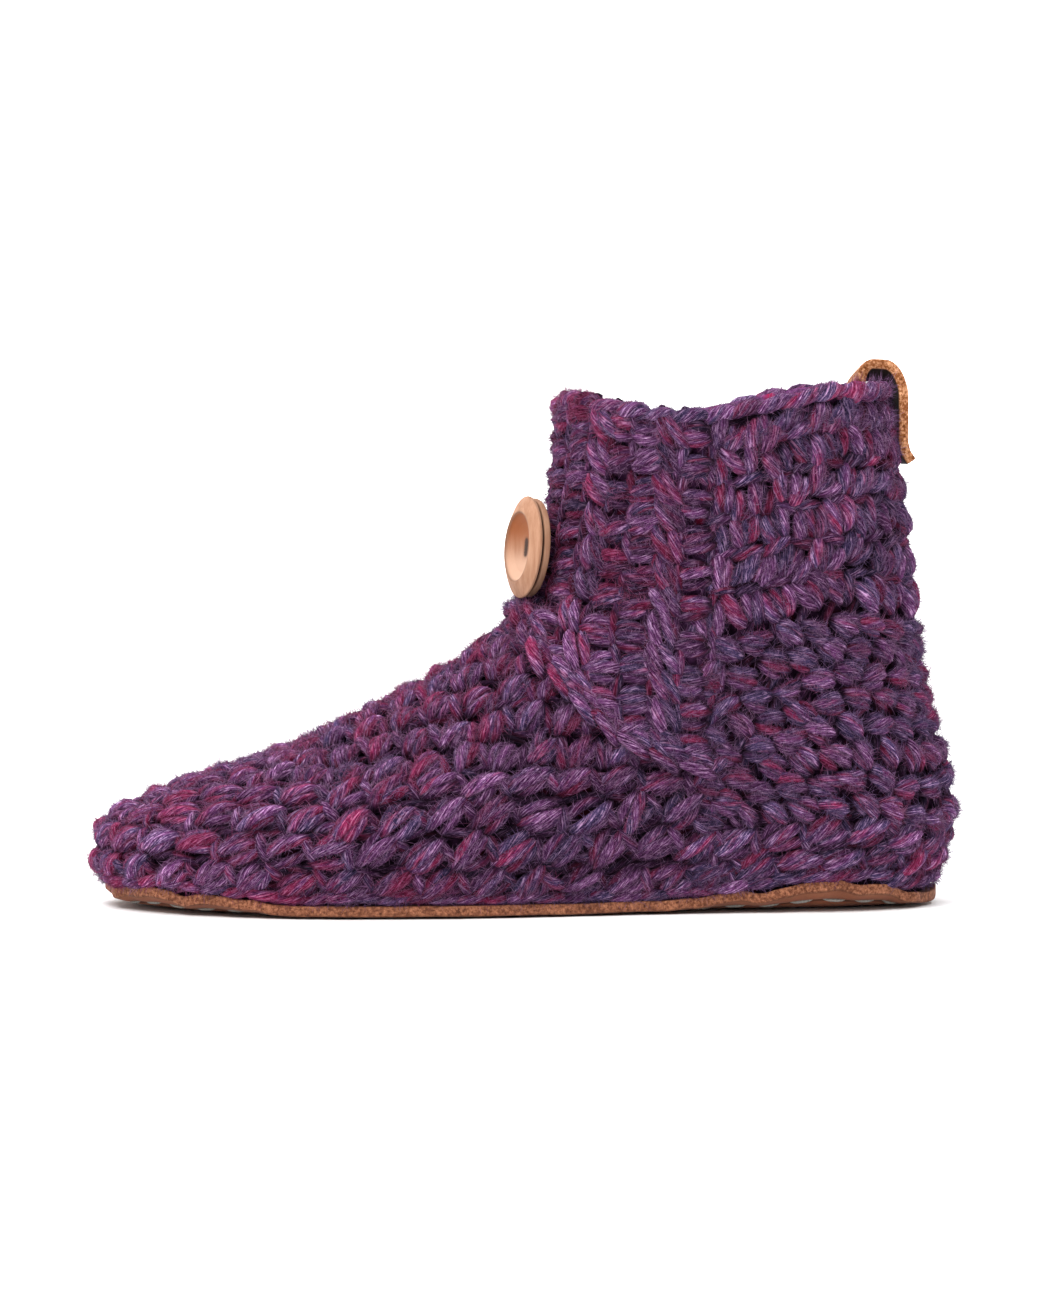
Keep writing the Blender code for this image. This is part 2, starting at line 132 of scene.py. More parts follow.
# Front flap. Across it runs t: 0 on the front line, 1 at the seam on the outer side. A row of FLAP is t and
# the heights of the flap's foot and top there.
SEAM_X = 50.6
NOTCH_HEIGHT = 86.5
FLAP = (
    (0.0, 87.0, 147.4),
    (0.12, 81.0, 150.8),
    (0.25, 74.5, 152.6),
    (0.5, 62.5, 150.6),
    (0.85, 45.0, 147.6),
    (1.0, 41.2, 147.0),
)
FLAP_THICKNESS = 3.7
FLAP_SEAM_THICKNESS = 1.6
FLAP_INNER_END = 0.62

# Button: a row is a turned step, its radius and height, from the middle of the back to that of the dish.
BUTTON = (
    (0.0, 0.0), (14.1, 0.0), (14.6, 0.15), (14.8, 0.6), (14.8, 1.9), (13.7, 2.2), (13.6, 2.45), (13.7, 2.7),
    (15.1, 2.85), (15.3, 3.05), (15.2, 3.3), (13.0, 4.45), (10.9, 5.4), (10.55, 5.45), (10.3, 5.35),
    (9.4, 4.3), (7.4, 3.1), (4.5, 2.5), (0.0, 2.3),
)
BUTTON_TILT = math.radians(5.0)
BUTTON_TURN = math.radians(16.0)
DISH_RADIUS = 10.2
GROOVE_RADIUS = 13.4

# Pull loop: X and height along the strap's middle line, and how far its far edge lies forward and droops for
# each millimetre across it.
STRAP = 3.3
STRAP_WIDTH = 15.0
LOOP_SKEW = 0.12
LOOP_SKEW_FROM = 138.0
LOOP_DROOP = 0.27
LOOP_DROOP_FROM = 150.0
LOOP = (
    (103.4, 132.0), (102.6, 140.0), (101.2, 148.0), (100.4, 154.5), (101.0, 159.0), (103.9, 161.8),
    (108.1, 161.6), (111.8, 158.2), (113.4, 152.0), (113.4, 145.0), (113.3, 139.0), (114.0, 135.4),
    (115.8, 132.4),
)

# Crochet. Each row of a stitch is one strand of yarn in the stitch's own axes: the place of its middle, its
# turn in degrees, half its length, its bow to one side, its radius and how high its middle line lies.
STRAND_COLUMNS = ("aside", "above", "turn", "half", "bow", "radius", "rise")
LOW_STITCH = (
    (-0.2, 1.6, 4.0, 7.4, 1.2, 1.95, -1.2),
    (0.2, 0.0, 0.0, 8.0, 0.3, 2.1, -0.3),
    (0.6, -1.6, -4.0, 7.0, -0.9, 1.95, -1.2),
    (6.6, -3.0, -95.0, 4.8, -0.5, 1.9, -1.3),
    (-6.0, 3.6, -40.0, 4.6, 0.4, 1.8, -2.2),
)
HIGH_STITCH = (
    (-0.8, 1.6, 4.0, 5.5, 0.9, 1.85, -1.0),
    (-0.8, 0.0, 0.0, 5.9, 0.2, 1.95, -0.3),
    (-0.6, -1.6, -4.0, 5.3, -0.7, 1.85, -1.0),
    (1.4, -5.0, 36.0, 4.9, 0.0, 1.85, -1.1),
)
PUFF_STITCH = (
    (0.0, 1.5, 3.0, 5.8, 1.3, 1.95, -1.0),
    (0.0, 0.0, 0.0, 6.3, 0.1, 2.0, -0.4),
    (0.0, -1.5, -3.0, 5.8, -1.2, 1.95, -1.0),
)
KNOT_STITCH = (
    (0.0, 1.4, 5.0, 4.6, 0.8, 1.75, -0.8),
    (0.0, 0.0, 0.0, 5.2, 0.1, 1.85, -0.2),
    (0.0, -1.4, -5.0, 4.5, -0.7, 1.75, -0.8),
)
POST_STITCH = (
    (0.0, 2.4, 12.0, 5.6, 0.7, 2.4, -0.6),
    (0.0, 0.0, 0.0, 5.2, 0.0, 2.1, -1.0),
    (0.0, -2.4, -12.0, 5.4, -0.5, 2.4, -0.7),
)
CHAIN_STITCH = ((0.0, 0.0, 0.0, 5.6, 0.7, 2.1, -1.3),)
BETWEEN_STITCH = ((0.0, 0.0, 0.0, 6.8, 0.6, 1.7, -2.4),)
EDGE_STITCH = ((0.0, 0.0, 0.0, 7.4, 0.3, 2.0, -0.7),)
FILL_STITCH = ((0.0, 0.0, 0.0, 6.4, 0.3, 2.0, -1.4),)
ROPE_STITCH = (
    (0.0, 1.3, 10.0, 6.8, 0.6, 2.0, 0.3),
    (0.0, -1.3, 14.0, 6.6, -0.2, 1.9, 0.0),
)
HEM_STITCH = (
    (0.0, 1.6, -8.0, 7.4, 0.9, 2.05, -0.1),
    (0.0, -1.3, -14.0, 7.0, -0.3, 2.05, 0.0),
)
# Upright columns of the flap: their places across it, side, stitch, pitch up and slant in degrees.
FLAP_COLUMNS = (
    ((0.15, 0.35, 0.63, 0.765, 0.945), -1.0, PUFF_STITCH, 9.6, 0.0),
    ((0.1, 0.3, 0.5), 1.0, PUFF_STITCH, 9.6, 0.0),
    ((0.53, 0.867), -1.0, ROPE_STITCH, 9.0, 96.0),
    ((0.05, 0.25, 0.44, 0.58, 0.7, 0.82, 0.91), -1.0, FILL_STITCH, 8.0, 84.0),
    ((0.02, 0.2, 0.4, 0.58), 1.0, FILL_STITCH, 8.0, 84.0),
)
STRAND_RINGS = 8
STRAND_SIDES = 6
STRAND_DIP = 3.2
FOOT_EDGE = 1.1
FOOT_FIRST_ROUND = 5.2
FOOT_ROUNDS = 13
HIGH_STITCH_FROM = 44.0
ROUND_PITCH = 10.3
STITCH_PITCH = 13.6
HIGH_PITCH = 11.2
LOWEST_HAIR = 0.5
STRAY_REACH = 2.2
WALL_ROUNDS = 14
KNOTS_ROUND = 46
ROPE_LEAN = 72.0
ROPE_PITCH = 8.4
# Rounds of the heel and shaft: stitch, first height above the sole's edge, pitch up, how many, pitch along,
# slant in degrees and tilt. The heights are for a wall of WALL_HEIGHT and are stretched with it.
HEEL_ROUNDS = (
    ("edge", 1.7, 1.0, 1, 7.6, 3.0, 0.0),
    ("low", 6.3, 8.6, 2, 13.0, 20.0, 0.0),
    ("knot", 22.5, 7.5, 8, 9.3, -20.0, 1.0),
    ("post", 84.5, 10.9, 6, 9.9, 90.0, 0.0),
    ("edge", 139.0, 1.0, 1, 6.6, 28.0, 0.0),
)
HEEL_TILT = 0.13
TILT_FROM_X = 88.0
WALL_BACK_X = 118.0
WALL_HEIGHT = 145.0
LOW_ROUND = 10.0
SHAFT_ROUND = 84.0
HIGHEST_ROUND = 136.0
HIGHEST_FILL = 141.0
TOE_CENTRE_X = -60.0
FOOT_BACK_X = 54.0
SHAFT_INNER_X = 26.0
COLLAR_BACK_X = 109.6


def smooth_columns(rows, at):
    """Every column of a table at these values of its first, by a cubic that doesn't overshoot the rows."""
    table = np.array(rows)
    key = table[:, 0]
    at = np.clip(np.asarray(at, float), key[0], key[-1])
    index = np.clip(np.searchsorted(key, at) - 1, 0, len(key) - 2)
    span = key[index + 1] - key[index]
    along = (at - key[index]) / span
    found = []
    for column in table.T[1:]:
        slope = np.diff(column) / np.diff(key)
        before, after = slope[:-1], slope[1:]
        middle = np.where(before * after > 0, 2 * before * after / (before + after + 1e-12), 0.0)
        tangent = np.concatenate([slope[:1], middle, slope[-1:]])
        low, high = column[index], column[index + 1]
        rise_low, rise_high = tangent[index] * span, tangent[index + 1] * span
        found.append(
            low * (1 + 2 * along) * (1 - along) ** 2
            + rise_low * along * (1 - along) ** 2
            + high * along**2 * (3 - 2 * along)
            + rise_high * along**2 * (along - 1)
        )
    return found


def smooth_step(value):
    """0 below 0, 1 above 1, and an even S between."""
    value = np.clip(value, 0.0, 1.0)
    return value * value * (3 - 2 * value)


def unit(vectors):
    """Vectors divided by their lengths."""
    return vectors / np.maximum(np.linalg.norm(vectors, axis=-1, keepdims=True), 1e-9)


def middle_line(x):
    """Y of the foot's middle line, which swings to the inner side at the toes."""
    return TOE_SWING * np.clip((SWING_FROM_X - x) / SWING_RUN, 0.0, 1.0) ** 2


def width_squared(x, z, side):
    """Half width of the foot at (x, z), squared, and below 0 outside it. side is -1 outer, 1 inner."""
    front, back, fore, rear, nose, cap = smooth_columns(SECTIONS, z)
    lobe = fore + (rear - fore) * smooth_step((x - BALL_X) / (HEEL_X - BALL_X))
    arch = np.clip(1 - ((x - ARCH_X) / ARCH_HALF_LENGTH) ** 2, 0.0, 1.0) ** 2
    arch = arch * np.clip(1 - z / ARCH_TOP, 0.0, 1.0)
    lobe = lobe - ARCH_DEPTH * arch * (np.asarray(side) > 0)
    to_nose = np.minimum((x - front) / nose, 1.0)
    to_cap = np.minimum((back - x) / cap, 1.0)
    return lobe**2 * to_nose * (2 - to_nose) * to_cap * (2 - to_cap)


def on_form(x, z, side):
    """Points on the foot's form at side coordinates (x, z)."""
    half_width = np.sqrt(np.maximum(width_squared(x, z, side), 0.0))
    return np.stack(np.broadcast_arrays(x, middle_line(x) + side * half_width, z), axis=-1)


def lengthwise(z, along):
    """X at a share of the length of a level section."""
    front, back = smooth_columns(SECTIONS, z)[:2]
    return front + (back - front) * along


def form_slope(points):
    """F = (y - middle)^2 - W^2, which is 0 on the form and below 0 inside it, and the slope of F."""
    x, y, z = points[..., 0], points[..., 1], points[..., 2]
    step = 0.02
    off_middle = y - middle_line(x)
    side = np.where(off_middle > 0, 1.0, -1.0)
    slope_x = (width_squared(x + step, z, side) - width_squared(x - step, z, side)) / (2 * step)
    slope_z = (width_squared(x, z + step, side) - width_squared(x, z - step, side)) / (2 * step)
    swing = (middle_line(x + step) - middle_line(x - step)) / (2 * step)
    slope = np.stack([-slope_x - 2 * off_middle * swing, 2 * off_middle, -slope_z], axis=-1)
    return off_middle**2 - width_squared(x, z, side), slope


def outward(points):
    """Unit normals of the form at points on it: the slope of F."""
    return unit(form_slope(points)[1])


def onto_form(points):
    """Points carried onto the form by Newton steps along the slope of F, with their normals."""
    for _ in range(4):
        value, slope = form_slope(points)
        points = points - slope * (value / np.maximum((slope**2).sum(axis=-1), 1e-6))[..., None]
    return points, outward(points)


def length_share(z, side, share):
    """How far along X a point lies that has gone this share of the way round a level section."""
    turn = np.linspace(0.0, math.pi, 241)
    points = on_form(lengthwise(z, (1 - np.cos(turn)) / 2), z, side)
    gone = lengths_along(points[None])[0]
    return (1 - np.cos(np.interp(share, gone / gone[-1], turn))) / 2


def lengths_along(lines):
    """Length gone at each point of each line."""
    steps = np.linalg.norm(np.diff(lines, axis=1), axis=-1)
    return np.concatenate([np.zeros((len(lines), 1)), np.cumsum(steps, axis=1)], axis=1)


def at_lengths(rows, gone, at):
    """Every column of a row of points at these lengths along it, straight from point to point."""
    return np.stack([np.interp(at, gone, column) for column in rows.T], axis=-1)


def upright(points):
    """Straight up, once for each of these points."""
    return np.broadcast_to(UP, points.shape)


def by_x(rows, level):
    """X along a level section, and a table's second column there, from its share of the way round."""
    share = np.linspace(0.0, 1.0, 121)
    return lengthwise(level, length_share(level, -1, share)), smooth_columns(rows, share)[0]


def edge_top(x):
    """Height of the sole's upper edge at X."""
    return LEATHER + np.interp(x, *by_x(EDGE, SOLE_PLAN_HEIGHT))


def collar_top(x):
    """Height of the collar at X."""
    return np.interp(x, *by_x(COLLAR, COLLAR_LEVEL))


def around(half):
    """Side and share of each point of a ring: outer side from toe to heel, inner side back to the toe."""
    share = np.concatenate([np.arange(half + 1), np.arange(half - 1, 0, -1)]) / half
    side = np.concatenate([-np.ones(half + 1), np.ones(half - 1)])
    return side, share


def ring_along(z, side, share):
    """How far along X the points of a ring lie, each by the way round on its own side."""
    return np.where(side < 0, length_share(z, -1, share), length_share(z, 1, share))


def edge_lift(share):
    """Lift of the leather's edge above the floor, with puckers between the sewing stitches."""
    lift = smooth_columns(EDGE, share)[0]
    return lift * (1 + PUCKER_SHARE * np.cos(2 * math.pi * PUCKERS / 2 * share))


def sole_ring(inset, above, half):
    """A ring on the leather, this far in from its edge and this far above its underside."""
    side, share = around(half)
    along = ring_along(SOLE_PLAN_HEIGHT, side, share)
    points = on_form(lengthwise(SOLE_PLAN_HEIGHT, along), SOLE_PLAN_HEIGHT, side)
    points[:, :2] -= inset * unit(outward(points)[:, :2])
    points[:, 2] = above + edge_lift(share) * max(1 - inset / SOLE_MARGIN, 0.0) ** 2
    return points


def flap_form(across, height, side):
    """Points of the form under the flap: columns upright below the notch, along the front line above it."""
    front = smooth_columns(SECTIONS, np.maximum(height, NOTCH_HEIGHT))[0]
    return on_form(front + (SEAM_X - front) * across**2, height, side)


def mesh_piece(name, points, faces, material, uv=None, dye_and_shading=None):
    """A smooth mesh object from points in millimetres and arrays of faces, moved to the middle of its box.

    uv gives one pair for every corner of every face. The last argument gives one colour for every point:
    colour shares, and in some pieces painted shade and light.
    """
    mesh = bpy.data.meshes.new(name)
    place = ((np.asarray(points).reshape(-1, 3) - BOX_MIDDLE) * MM).astype(np.float32)
    sizes = np.concatenate([np.full(len(group), group.shape[1]) for group in faces])
    corners = np.concatenate([group.ravel() for group in faces]).astype(np.int32)
    mesh.vertices.add(len(place))
    mesh.vertices.foreach_set("co", place.ravel())
    mesh.loops.add(len(corners))
    mesh.loops.foreach_set("vertex_index", corners)
    mesh.polygons.add(len(sizes))
    mesh.polygons.foreach_set("loop_start", np.concatenate([[0], np.cumsum(sizes)[:-1]]).astype(np.int32))
    mesh.polygons.foreach_set("use_smooth", np.ones(len(sizes), bool))
    mesh.update(calc_edges=True)
    if uv is not None:
        layer = mesh.uv_layers.new(name="run")
        pairs = np.concatenate([group.reshape(-1, 2) for group in uv])
        layer.uv.foreach_set("vector", pairs.astype(np.float32).ravel())
    if dye_and_shading is not None:
        colours = mesh.attributes.new("dye_and_shading", "FLOAT_COLOR", "POINT")
        full = np.concatenate([dye_and_shading.reshape(-1, 3), np.ones((len(place), 1))], axis=1)
        colours.data.foreach_set("color", full.astype(np.float32).ravel())
    mesh.materials.append(material)
    piece = bpy.data.objects.new(name, mesh)
    bpy.context.scene.collection.objects.link(piece)
    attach(piece, "root")
    return piece


def grid_faces(rows, columns, closed_rows=False, closed_columns=False):
    """Quads of a rows x columns grid, wrapped round either way if asked."""
    row = np.arange(rows if closed_rows else rows - 1)[:, None]
    column = np.arange(columns if closed_columns else columns - 1)[None]
    after_row, after_column = (row + 1) % rows, (column + 1) % columns
    corners = [
        row * columns + column,
        row * columns + after_column,
        after_row * columns + after_column,
        after_row * columns + column,
    ]
    return np.stack(np.broadcast_arrays(*corners), axis=-1).reshape(-1, 4)


def capped_rings(rings):
    """Quads between closed rings, and the two flat faces that close the first and the last ring."""
    count, steps = rings.shape[:2]
    ring = np.arange(steps)[None]
    return [grid_faces(count, steps, closed_columns=True), ring[:, ::-1], (count - 1) * steps + ring]


def turns(steps):
    """Angles of even steps once round."""
    return 2 * math.pi * np.arange(steps) / steps


def circle(sides):
    """Points of a unit circle that starts on the inner side of a tube."""
    turn = turns(sides) - math.pi / 2
    return np.stack([np.cos(turn), np.sin(turn)], axis=-1)


def carried(centres, out, profile, scale):
    """Tubes: a closed profile carried along n paths of k points each.

    A point of a ring is centre + scale (p across + q out), where out is made square to the path and across
    is square to both. Returns the points, the quads with both end caps, and the corners' places, which run
    in millimetres along the path and from 0 to 1 round the profile.
    """
    count, rings = centres.shape[:2]
    sides = len(profile)
    run = unit(np.gradient(centres, axis=1))
    across = unit(np.cross(out, run))
    square_out = np.cross(run, across)
    spread = profile[:, 0, None] * across[:, :, None] + profile[:, 1, None] * square_out[:, :, None]
    points = centres[:, :, None] + scale[:, :, None, None] * spread
    one = grid_faces(rings, sides, closed_columns=True)
    starts = np.arange(count)[:, None] * rings * sides
    quads = (starts[..., None] + one).reshape(-1, 4)
    ring = np.arange(sides)
    first = starts + ring[::-1]
    last = starts + (rings - 1) * sides + ring
    gone = lengths_along(centres)
    turn = np.arange(sides + 1) / sides
    corner_run = np.stack([gone[:, :-1], gone[:, :-1], gone[:, 1:], gone[:, 1:]], axis=-1)
    corner_turn = np.stack([turn[:-1], turn[1:], turn[1:], turn[:-1]], axis=-1)
    shape = (count, rings - 1, sides, 4)
    quad_uv = np.stack(
        [np.broadcast_to(corner_run[:, :, None], shape), np.broadcast_to(corner_turn, shape)], axis=-1
    )
    cap_turn = np.broadcast_to(turn[:-1], (count, sides))
    first_uv = np.stack([np.broadcast_to(gone[:, :1], (count, sides)), cap_turn[:, ::-1]], axis=-1)
    last_uv = np.stack([np.broadcast_to(gone[:, -1:], (count, sides)), cap_turn], axis=-1)
    return points, [quads, first, last], [quad_uv, first_uv, last_uv]


def seeds_on(points, up):
    """Stitch seeds: places on the form, with axes along the round (to the right from outside) and up it."""
    place, normal = onto_form(points)
    up = unit(up - (up * normal).sum(axis=-1, keepdims=True) * normal)
    return {"place": place, "along": np.cross(up, normal), "up": up}


def along_lines(lines, lengths, at):
    """Points at one length along each line, and which of the lines reach it."""
    after = np.clip((lengths < at).sum(axis=1), 1, lengths.shape[1] - 1)
    line = np.arange(len(lines))
    low, high = lengths[line, after - 1], lengths[line, after]
    share = np.clip((at - low) / (high - low), 0.0, 1.0)[:, None]
    return lines[line, after - 1] * (1 - share) + lines[line, after] * share, lengths[:, -1] >= at


def evenly(points, pitch, phase, reached=None):
    """Values at an even pitch along a row of points, skipping the stretches that aren't reached."""
    reached = np.ones(len(points), bool) if reached is None else reached
    steps = np.linalg.norm(np.diff(points[:, :3], axis=0), axis=1) * (reached[1:] & reached[:-1])
    gone = np.concatenate([[0.0], np.cumsum(steps)]) + np.arange(len(points)) * 1e-9
    count = max(int(gone[-1] / pitch), 0)
    at = (np.arange(count) + phase) * gone[-1] / max(count, 1)
    return at_lengths(points, gone, at)


def foot_lines():
    """Lines up the foot from the sole: across it behind the toe centre, and in a fan of planes round that.

    The fan's distance from the toe centre is found by halving: a point lies inside while its squared
    distance from the middle line is below the squared half width.
    """
    steps = (1 - np.linspace(0.0, 1.0, 70)) ** 2
    levels = np.linspace(16.0, 100.0, 300)
    fronts = smooth_columns(SECTIONS, levels)[0]
    x = np.linspace(FOOT_BACK_X, TOE_CENTRE_X, 160)[:, None]
    low = edge_top(x) + 0.5
    top = np.interp(x, fronts, levels)
    height = top - (top - low) * steps
    outer, inner = on_form(x, height, -1.0), on_form(x, height, 1.0)
    turn = np.linspace(0.0, math.pi, 122)[1:-1, None]
    low = edge_top(TOE_CENTRE_X - 60.0 * np.sin(turn)) + 0.5
    top = np.interp(TOE_CENTRE_X, fronts, levels) - 0.02
    height = top - (top - low) * steps
    near, far = np.zeros(height.shape), np.full(height.shape, 90.0)
    for _ in range(36):
        reach = (near + far) / 2
        fan_x = TOE_CENTRE_X - reach * np.sin(turn)
        off = middle_line(TOE_CENTRE_X) - reach * np.cos(turn) - middle_line(fan_x)
        inside = off**2 < width_squared(fan_x, height, np.sign(off))
        near, far = np.where(inside, reach, near), np.where(inside, far, reach)
    fan = np.stack([fan_x, off + middle_line(fan_x), height], axis=-1)
    return np.concatenate([outer, fan, inner[::-1]])


def stitches(seeds, table, slant, raised=0.0, loose=1.0):
    """Every strand of a stitch at every seed, turned by its slant in degrees, with a hand-made scatter."""
    count, rows = len(seeds["place"]), len(table)
    value = dict(zip(STRAND_COLUMNS, np.array(table).T))
    slant = np.broadcast_to(np.radians(slant), (count,))[:, None]
    scatter = chance.normal(0.0, loose, (6, count, rows))
    aside = value["aside"] + 0.5 * scatter[0]
    above = value["above"] + 0.3 * scatter[1]
    made = {
        "aside": aside * np.cos(slant) - above * np.sin(slant),
        "above": aside * np.sin(slant) + above * np.cos(slant),
        "turn": slant + np.radians(value["turn"] + 7.0 * scatter[2]),
        "half": value["half"] * (1 + 0.06 * scatter[3]),
        "bow": value["bow"] + 0.25 * scatter[4],
        "radius": value["radius"] * (1 + 0.06 * scatter[5]),
        "rise": value["rise"] + 0.25 * chance.normal(0.0, loose, (count, rows)),
        "raised": np.broadcast_to(np.asarray(raised, float).reshape(-1, 1), (count, rows)),
    }
    flat = {name: np.broadcast_to(column, (count, rows)).ravel() for name, column in made.items()}
    for name in ("place", "along", "up"):
        flat[name] = np.repeat(seeds[name], rows, axis=0)
    return flat


def sides_of(paths):
    """The paths on the outer side of the foot, and those on the inner side."""
    middle = paths[0][:, STRAND_RINGS // 2]
    outer = middle[:, 1] < middle_line(middle[:, 0])
    return [column[outer] for column in paths], [column[~outer] for column in paths]


def joined(groups):
    """Groups of strands, put end to end column by column."""
    return {name: np.concatenate([group[name] for group in groups]) for name in groups[0]}


def strand_paths(strands):
    """Middle lines of strands on the form, their outward directions, radii, heights over it, and colour
    shares with a lightness that is partly painted light.

    Along a strand t runs from -1 to 1. Its line goes half * t along its turn and bow * (1 - t^2) aside, is
    carried onto the form, and then stands off it by rise in the middle, dropping to its dip at both ends.
    """
    t = np.linspace(-1.0, 1.0, STRAND_RINGS)
    turn, half = strands["turn"][:, None], strands["half"][:, None]
    bowed = strands["bow"][:, None] * (1 - t**2)
    aside = strands["aside"][:, None] + np.cos(turn) * half * t - np.sin(turn) * bowed
    above = strands["above"][:, None] + np.sin(turn) * half * t + np.cos(turn) * bowed
    flat = strands["place"][:, None] + aside[..., None] * strands["along"][:, None]
    base, normal = onto_form(flat + above[..., None] * strands["up"][:, None])
    rise = strands["rise"][:, None]
    over = rise - (rise + STRAND_DIP) * np.abs(t) ** 2.6
    stand = strands["raised"][:, None] + over
    radius = strands["radius"][:, None] * (1 - 0.42 * np.abs(t) ** 3)
    centres = base + stand[..., None] * normal
    return centres, normal, radius, over, strand_dyes_and_shading(centres)


def strand_dyes_and_shading(centres):
    """Crimson share, slate share and lightness of each strand, the lightness partly painted light.

    Each is a share by chance, moved by smooth steps over regions of the side view. Crimson is common at the
    toe and on the instep, slate at the heel. Toe and instep are painted paler, as lit from above and in
    front;
    the low heel is paler, the front and shaft deeper.
    """
    x, z = centres[:, STRAND_RINGS // 2, 0], centres[:, STRAND_RINGS // 2, 2]
    toe = smooth_step((-20.0 - x) / 90.0)
    behind_toe = smooth_step((x + 90.0) / 110.0)
    instep = smooth_step((z - 42.0) / 25.0) * smooth_step((60.0 - x) / 40.0)
    heel = smooth_step((x - 40.0) / 40.0)
    low_heel = heel * smooth_step((90.0 - z) / 30.0)
    shaft = heel * smooth_step((z - 84.0) / 16.0)
    front = smooth_step((z - 70.0) / 25.0) * smooth_step((54.0 - x) / 10.0)
    dye_and_shading = chance.uniform(0.0, 1.0, (len(centres), 3))
    dye_and_shading[:, 0] += 0.15 - 0.32 * behind_toe + 0.26 * instep + 0.12 * heel + 0.08 * front
    dye_and_shading[:, 1] += 0.07 + 0.26 * heel + 0.08 * low_heel
    # Lightness: a share by chance, painted paler at the toe and instep as if lit from above and in front.
    dye_and_shading[:, 2] = 2.0 * dye_and_shading[:, 2] - 0.45 + 0.75 * toe + 0.5 * low_heel
    dye_and_shading[:, 2] += 0.3 * instep * (1.0 - front) - 0.5 * front - 0.25 * shaft
    return dye_and_shading


def yarn_piece(name, paths, material):
    """A piece of yarn strands, each with its own colour shares and its own stretch of the yarn's streaks.

    Shade is painted into the colour: a point is darker the lower it lies over the form, so the gaps between
    bundles are painted nearly black.
    """
    centres, normal, radius, over, own = paths
    profile = circle(STRAND_SIDES)
    points, faces, uv = carried(centres, normal, profile, radius)
    offset = chance.uniform(0.0, 4000.0, len(centres))
    for corner in uv:
        corner[..., 0] = corner[..., 0] + offset.reshape(-1, *[1] * (corner.ndim - 2))
    height = over[..., None] + radius[..., None] * profile[:, 1]
    dye_and_shading = np.broadcast_to(own[:, None, None], height.shape + (3,)).copy()
    # Third share: the strand's lightness times painted shade that darkens points low over the form.
    dye_and_shading[..., 2] = (0.75 + 0.4 * dye_and_shading[..., 2]) * (0.05 + 0.95 * smooth_step((height + 1.9) / 3.7))
    return mesh_piece(name, points, faces, material, uv, dye_and_shading)


def foot_strands():
    """Rounds of stitches up the foot, steeper towards the instep, with a strand between each two rounds."""
    lines = foot_lines()
    lengths = lengths_along(lines)
    groups = []
    edge, reached = along_lines(lines, lengths, FOOT_EDGE)
    row = np.concatenate([edge, upright(edge)], axis=1)
    found = evenly(row, 7.6, 0.5, reached)
    groups.append(stitches(seeds_on(found[:, :3], found[:, 3:]), EDGE_STITCH, 4.0))
    for number in range(FOOT_ROUNDS):
        at = FOOT_FIRST_ROUND + ROUND_PITCH * number
        points, reached = along_lines(lines, lengths, at)
        above = along_lines(lines, lengths, at + 2.0)[0]
        below = along_lines(lines, lengths, at - 2.0)[0]
        row = np.concatenate([points, above - below], axis=1)
        if reached.sum() < 4:
            break
        low = at < HIGH_STITCH_FROM
        found = evenly(row, STITCH_PITCH if low else HIGH_PITCH, 0.37 * number % 1.0, reached)
        lift = chance.normal(0.0, 0.7, (len(found), 1)) * min(number, 1)
        seeds = seeds_on(found[:, :3] + lift * unit(found[:, 3:]), found[:, 3:])
        steep = smooth_step((at - 34.0) / 26.0)
        slant = (32.0 if low else 46.0) + 10.0 * steep + chance.normal(0.0, 8.0, len(found))
        groups.append(stitches(seeds, LOW_STITCH if low else HIGH_STITCH, slant, 0.0, 1.2))
        between = evenly(row, 0.5 * STITCH_PITCH, 0.2, reached)
        seeds = seeds_on(between[:, :3] + 0.5 * ROUND_PITCH * unit(between[:, 3:]), between[:, 3:])
        turned = 6.0 + chance.normal(0.0, 16.0, len(between))
        groups.append(stitches(seeds, BETWEEN_STITCH, turned))
    return joined(groups)


def wall_row(above_sole, inner_end, tilt):
    """A round of the heel and shaft at this height above the sole's edge, as points on the form.

    The height is stretched with the wall, from the edge to the collar, and rises towards the back by tilt.
    """
    share = above_sole / WALL_HEIGHT
    t = np.sin(np.linspace(0.0, math.pi / 2, 160))
    rows = []
    for side, start in ((-1.0, FOOT_BACK_X - 2.0), (1.0, inner_end)):
        x = start + (WALL_BACK_X - start) * t
        for _ in range(3):
            height = edge_top(x) + (collar_top(x) - edge_top(x)) * share + tilt * (x - TILT_FROM_X)
            back = smooth_columns(SECTIONS, height)[1]
            x = start + (back - start) * t
        points = on_form(x, height, side)
        rows.append(points if side < 0 else points[::-1])
    return np.concatenate(rows)


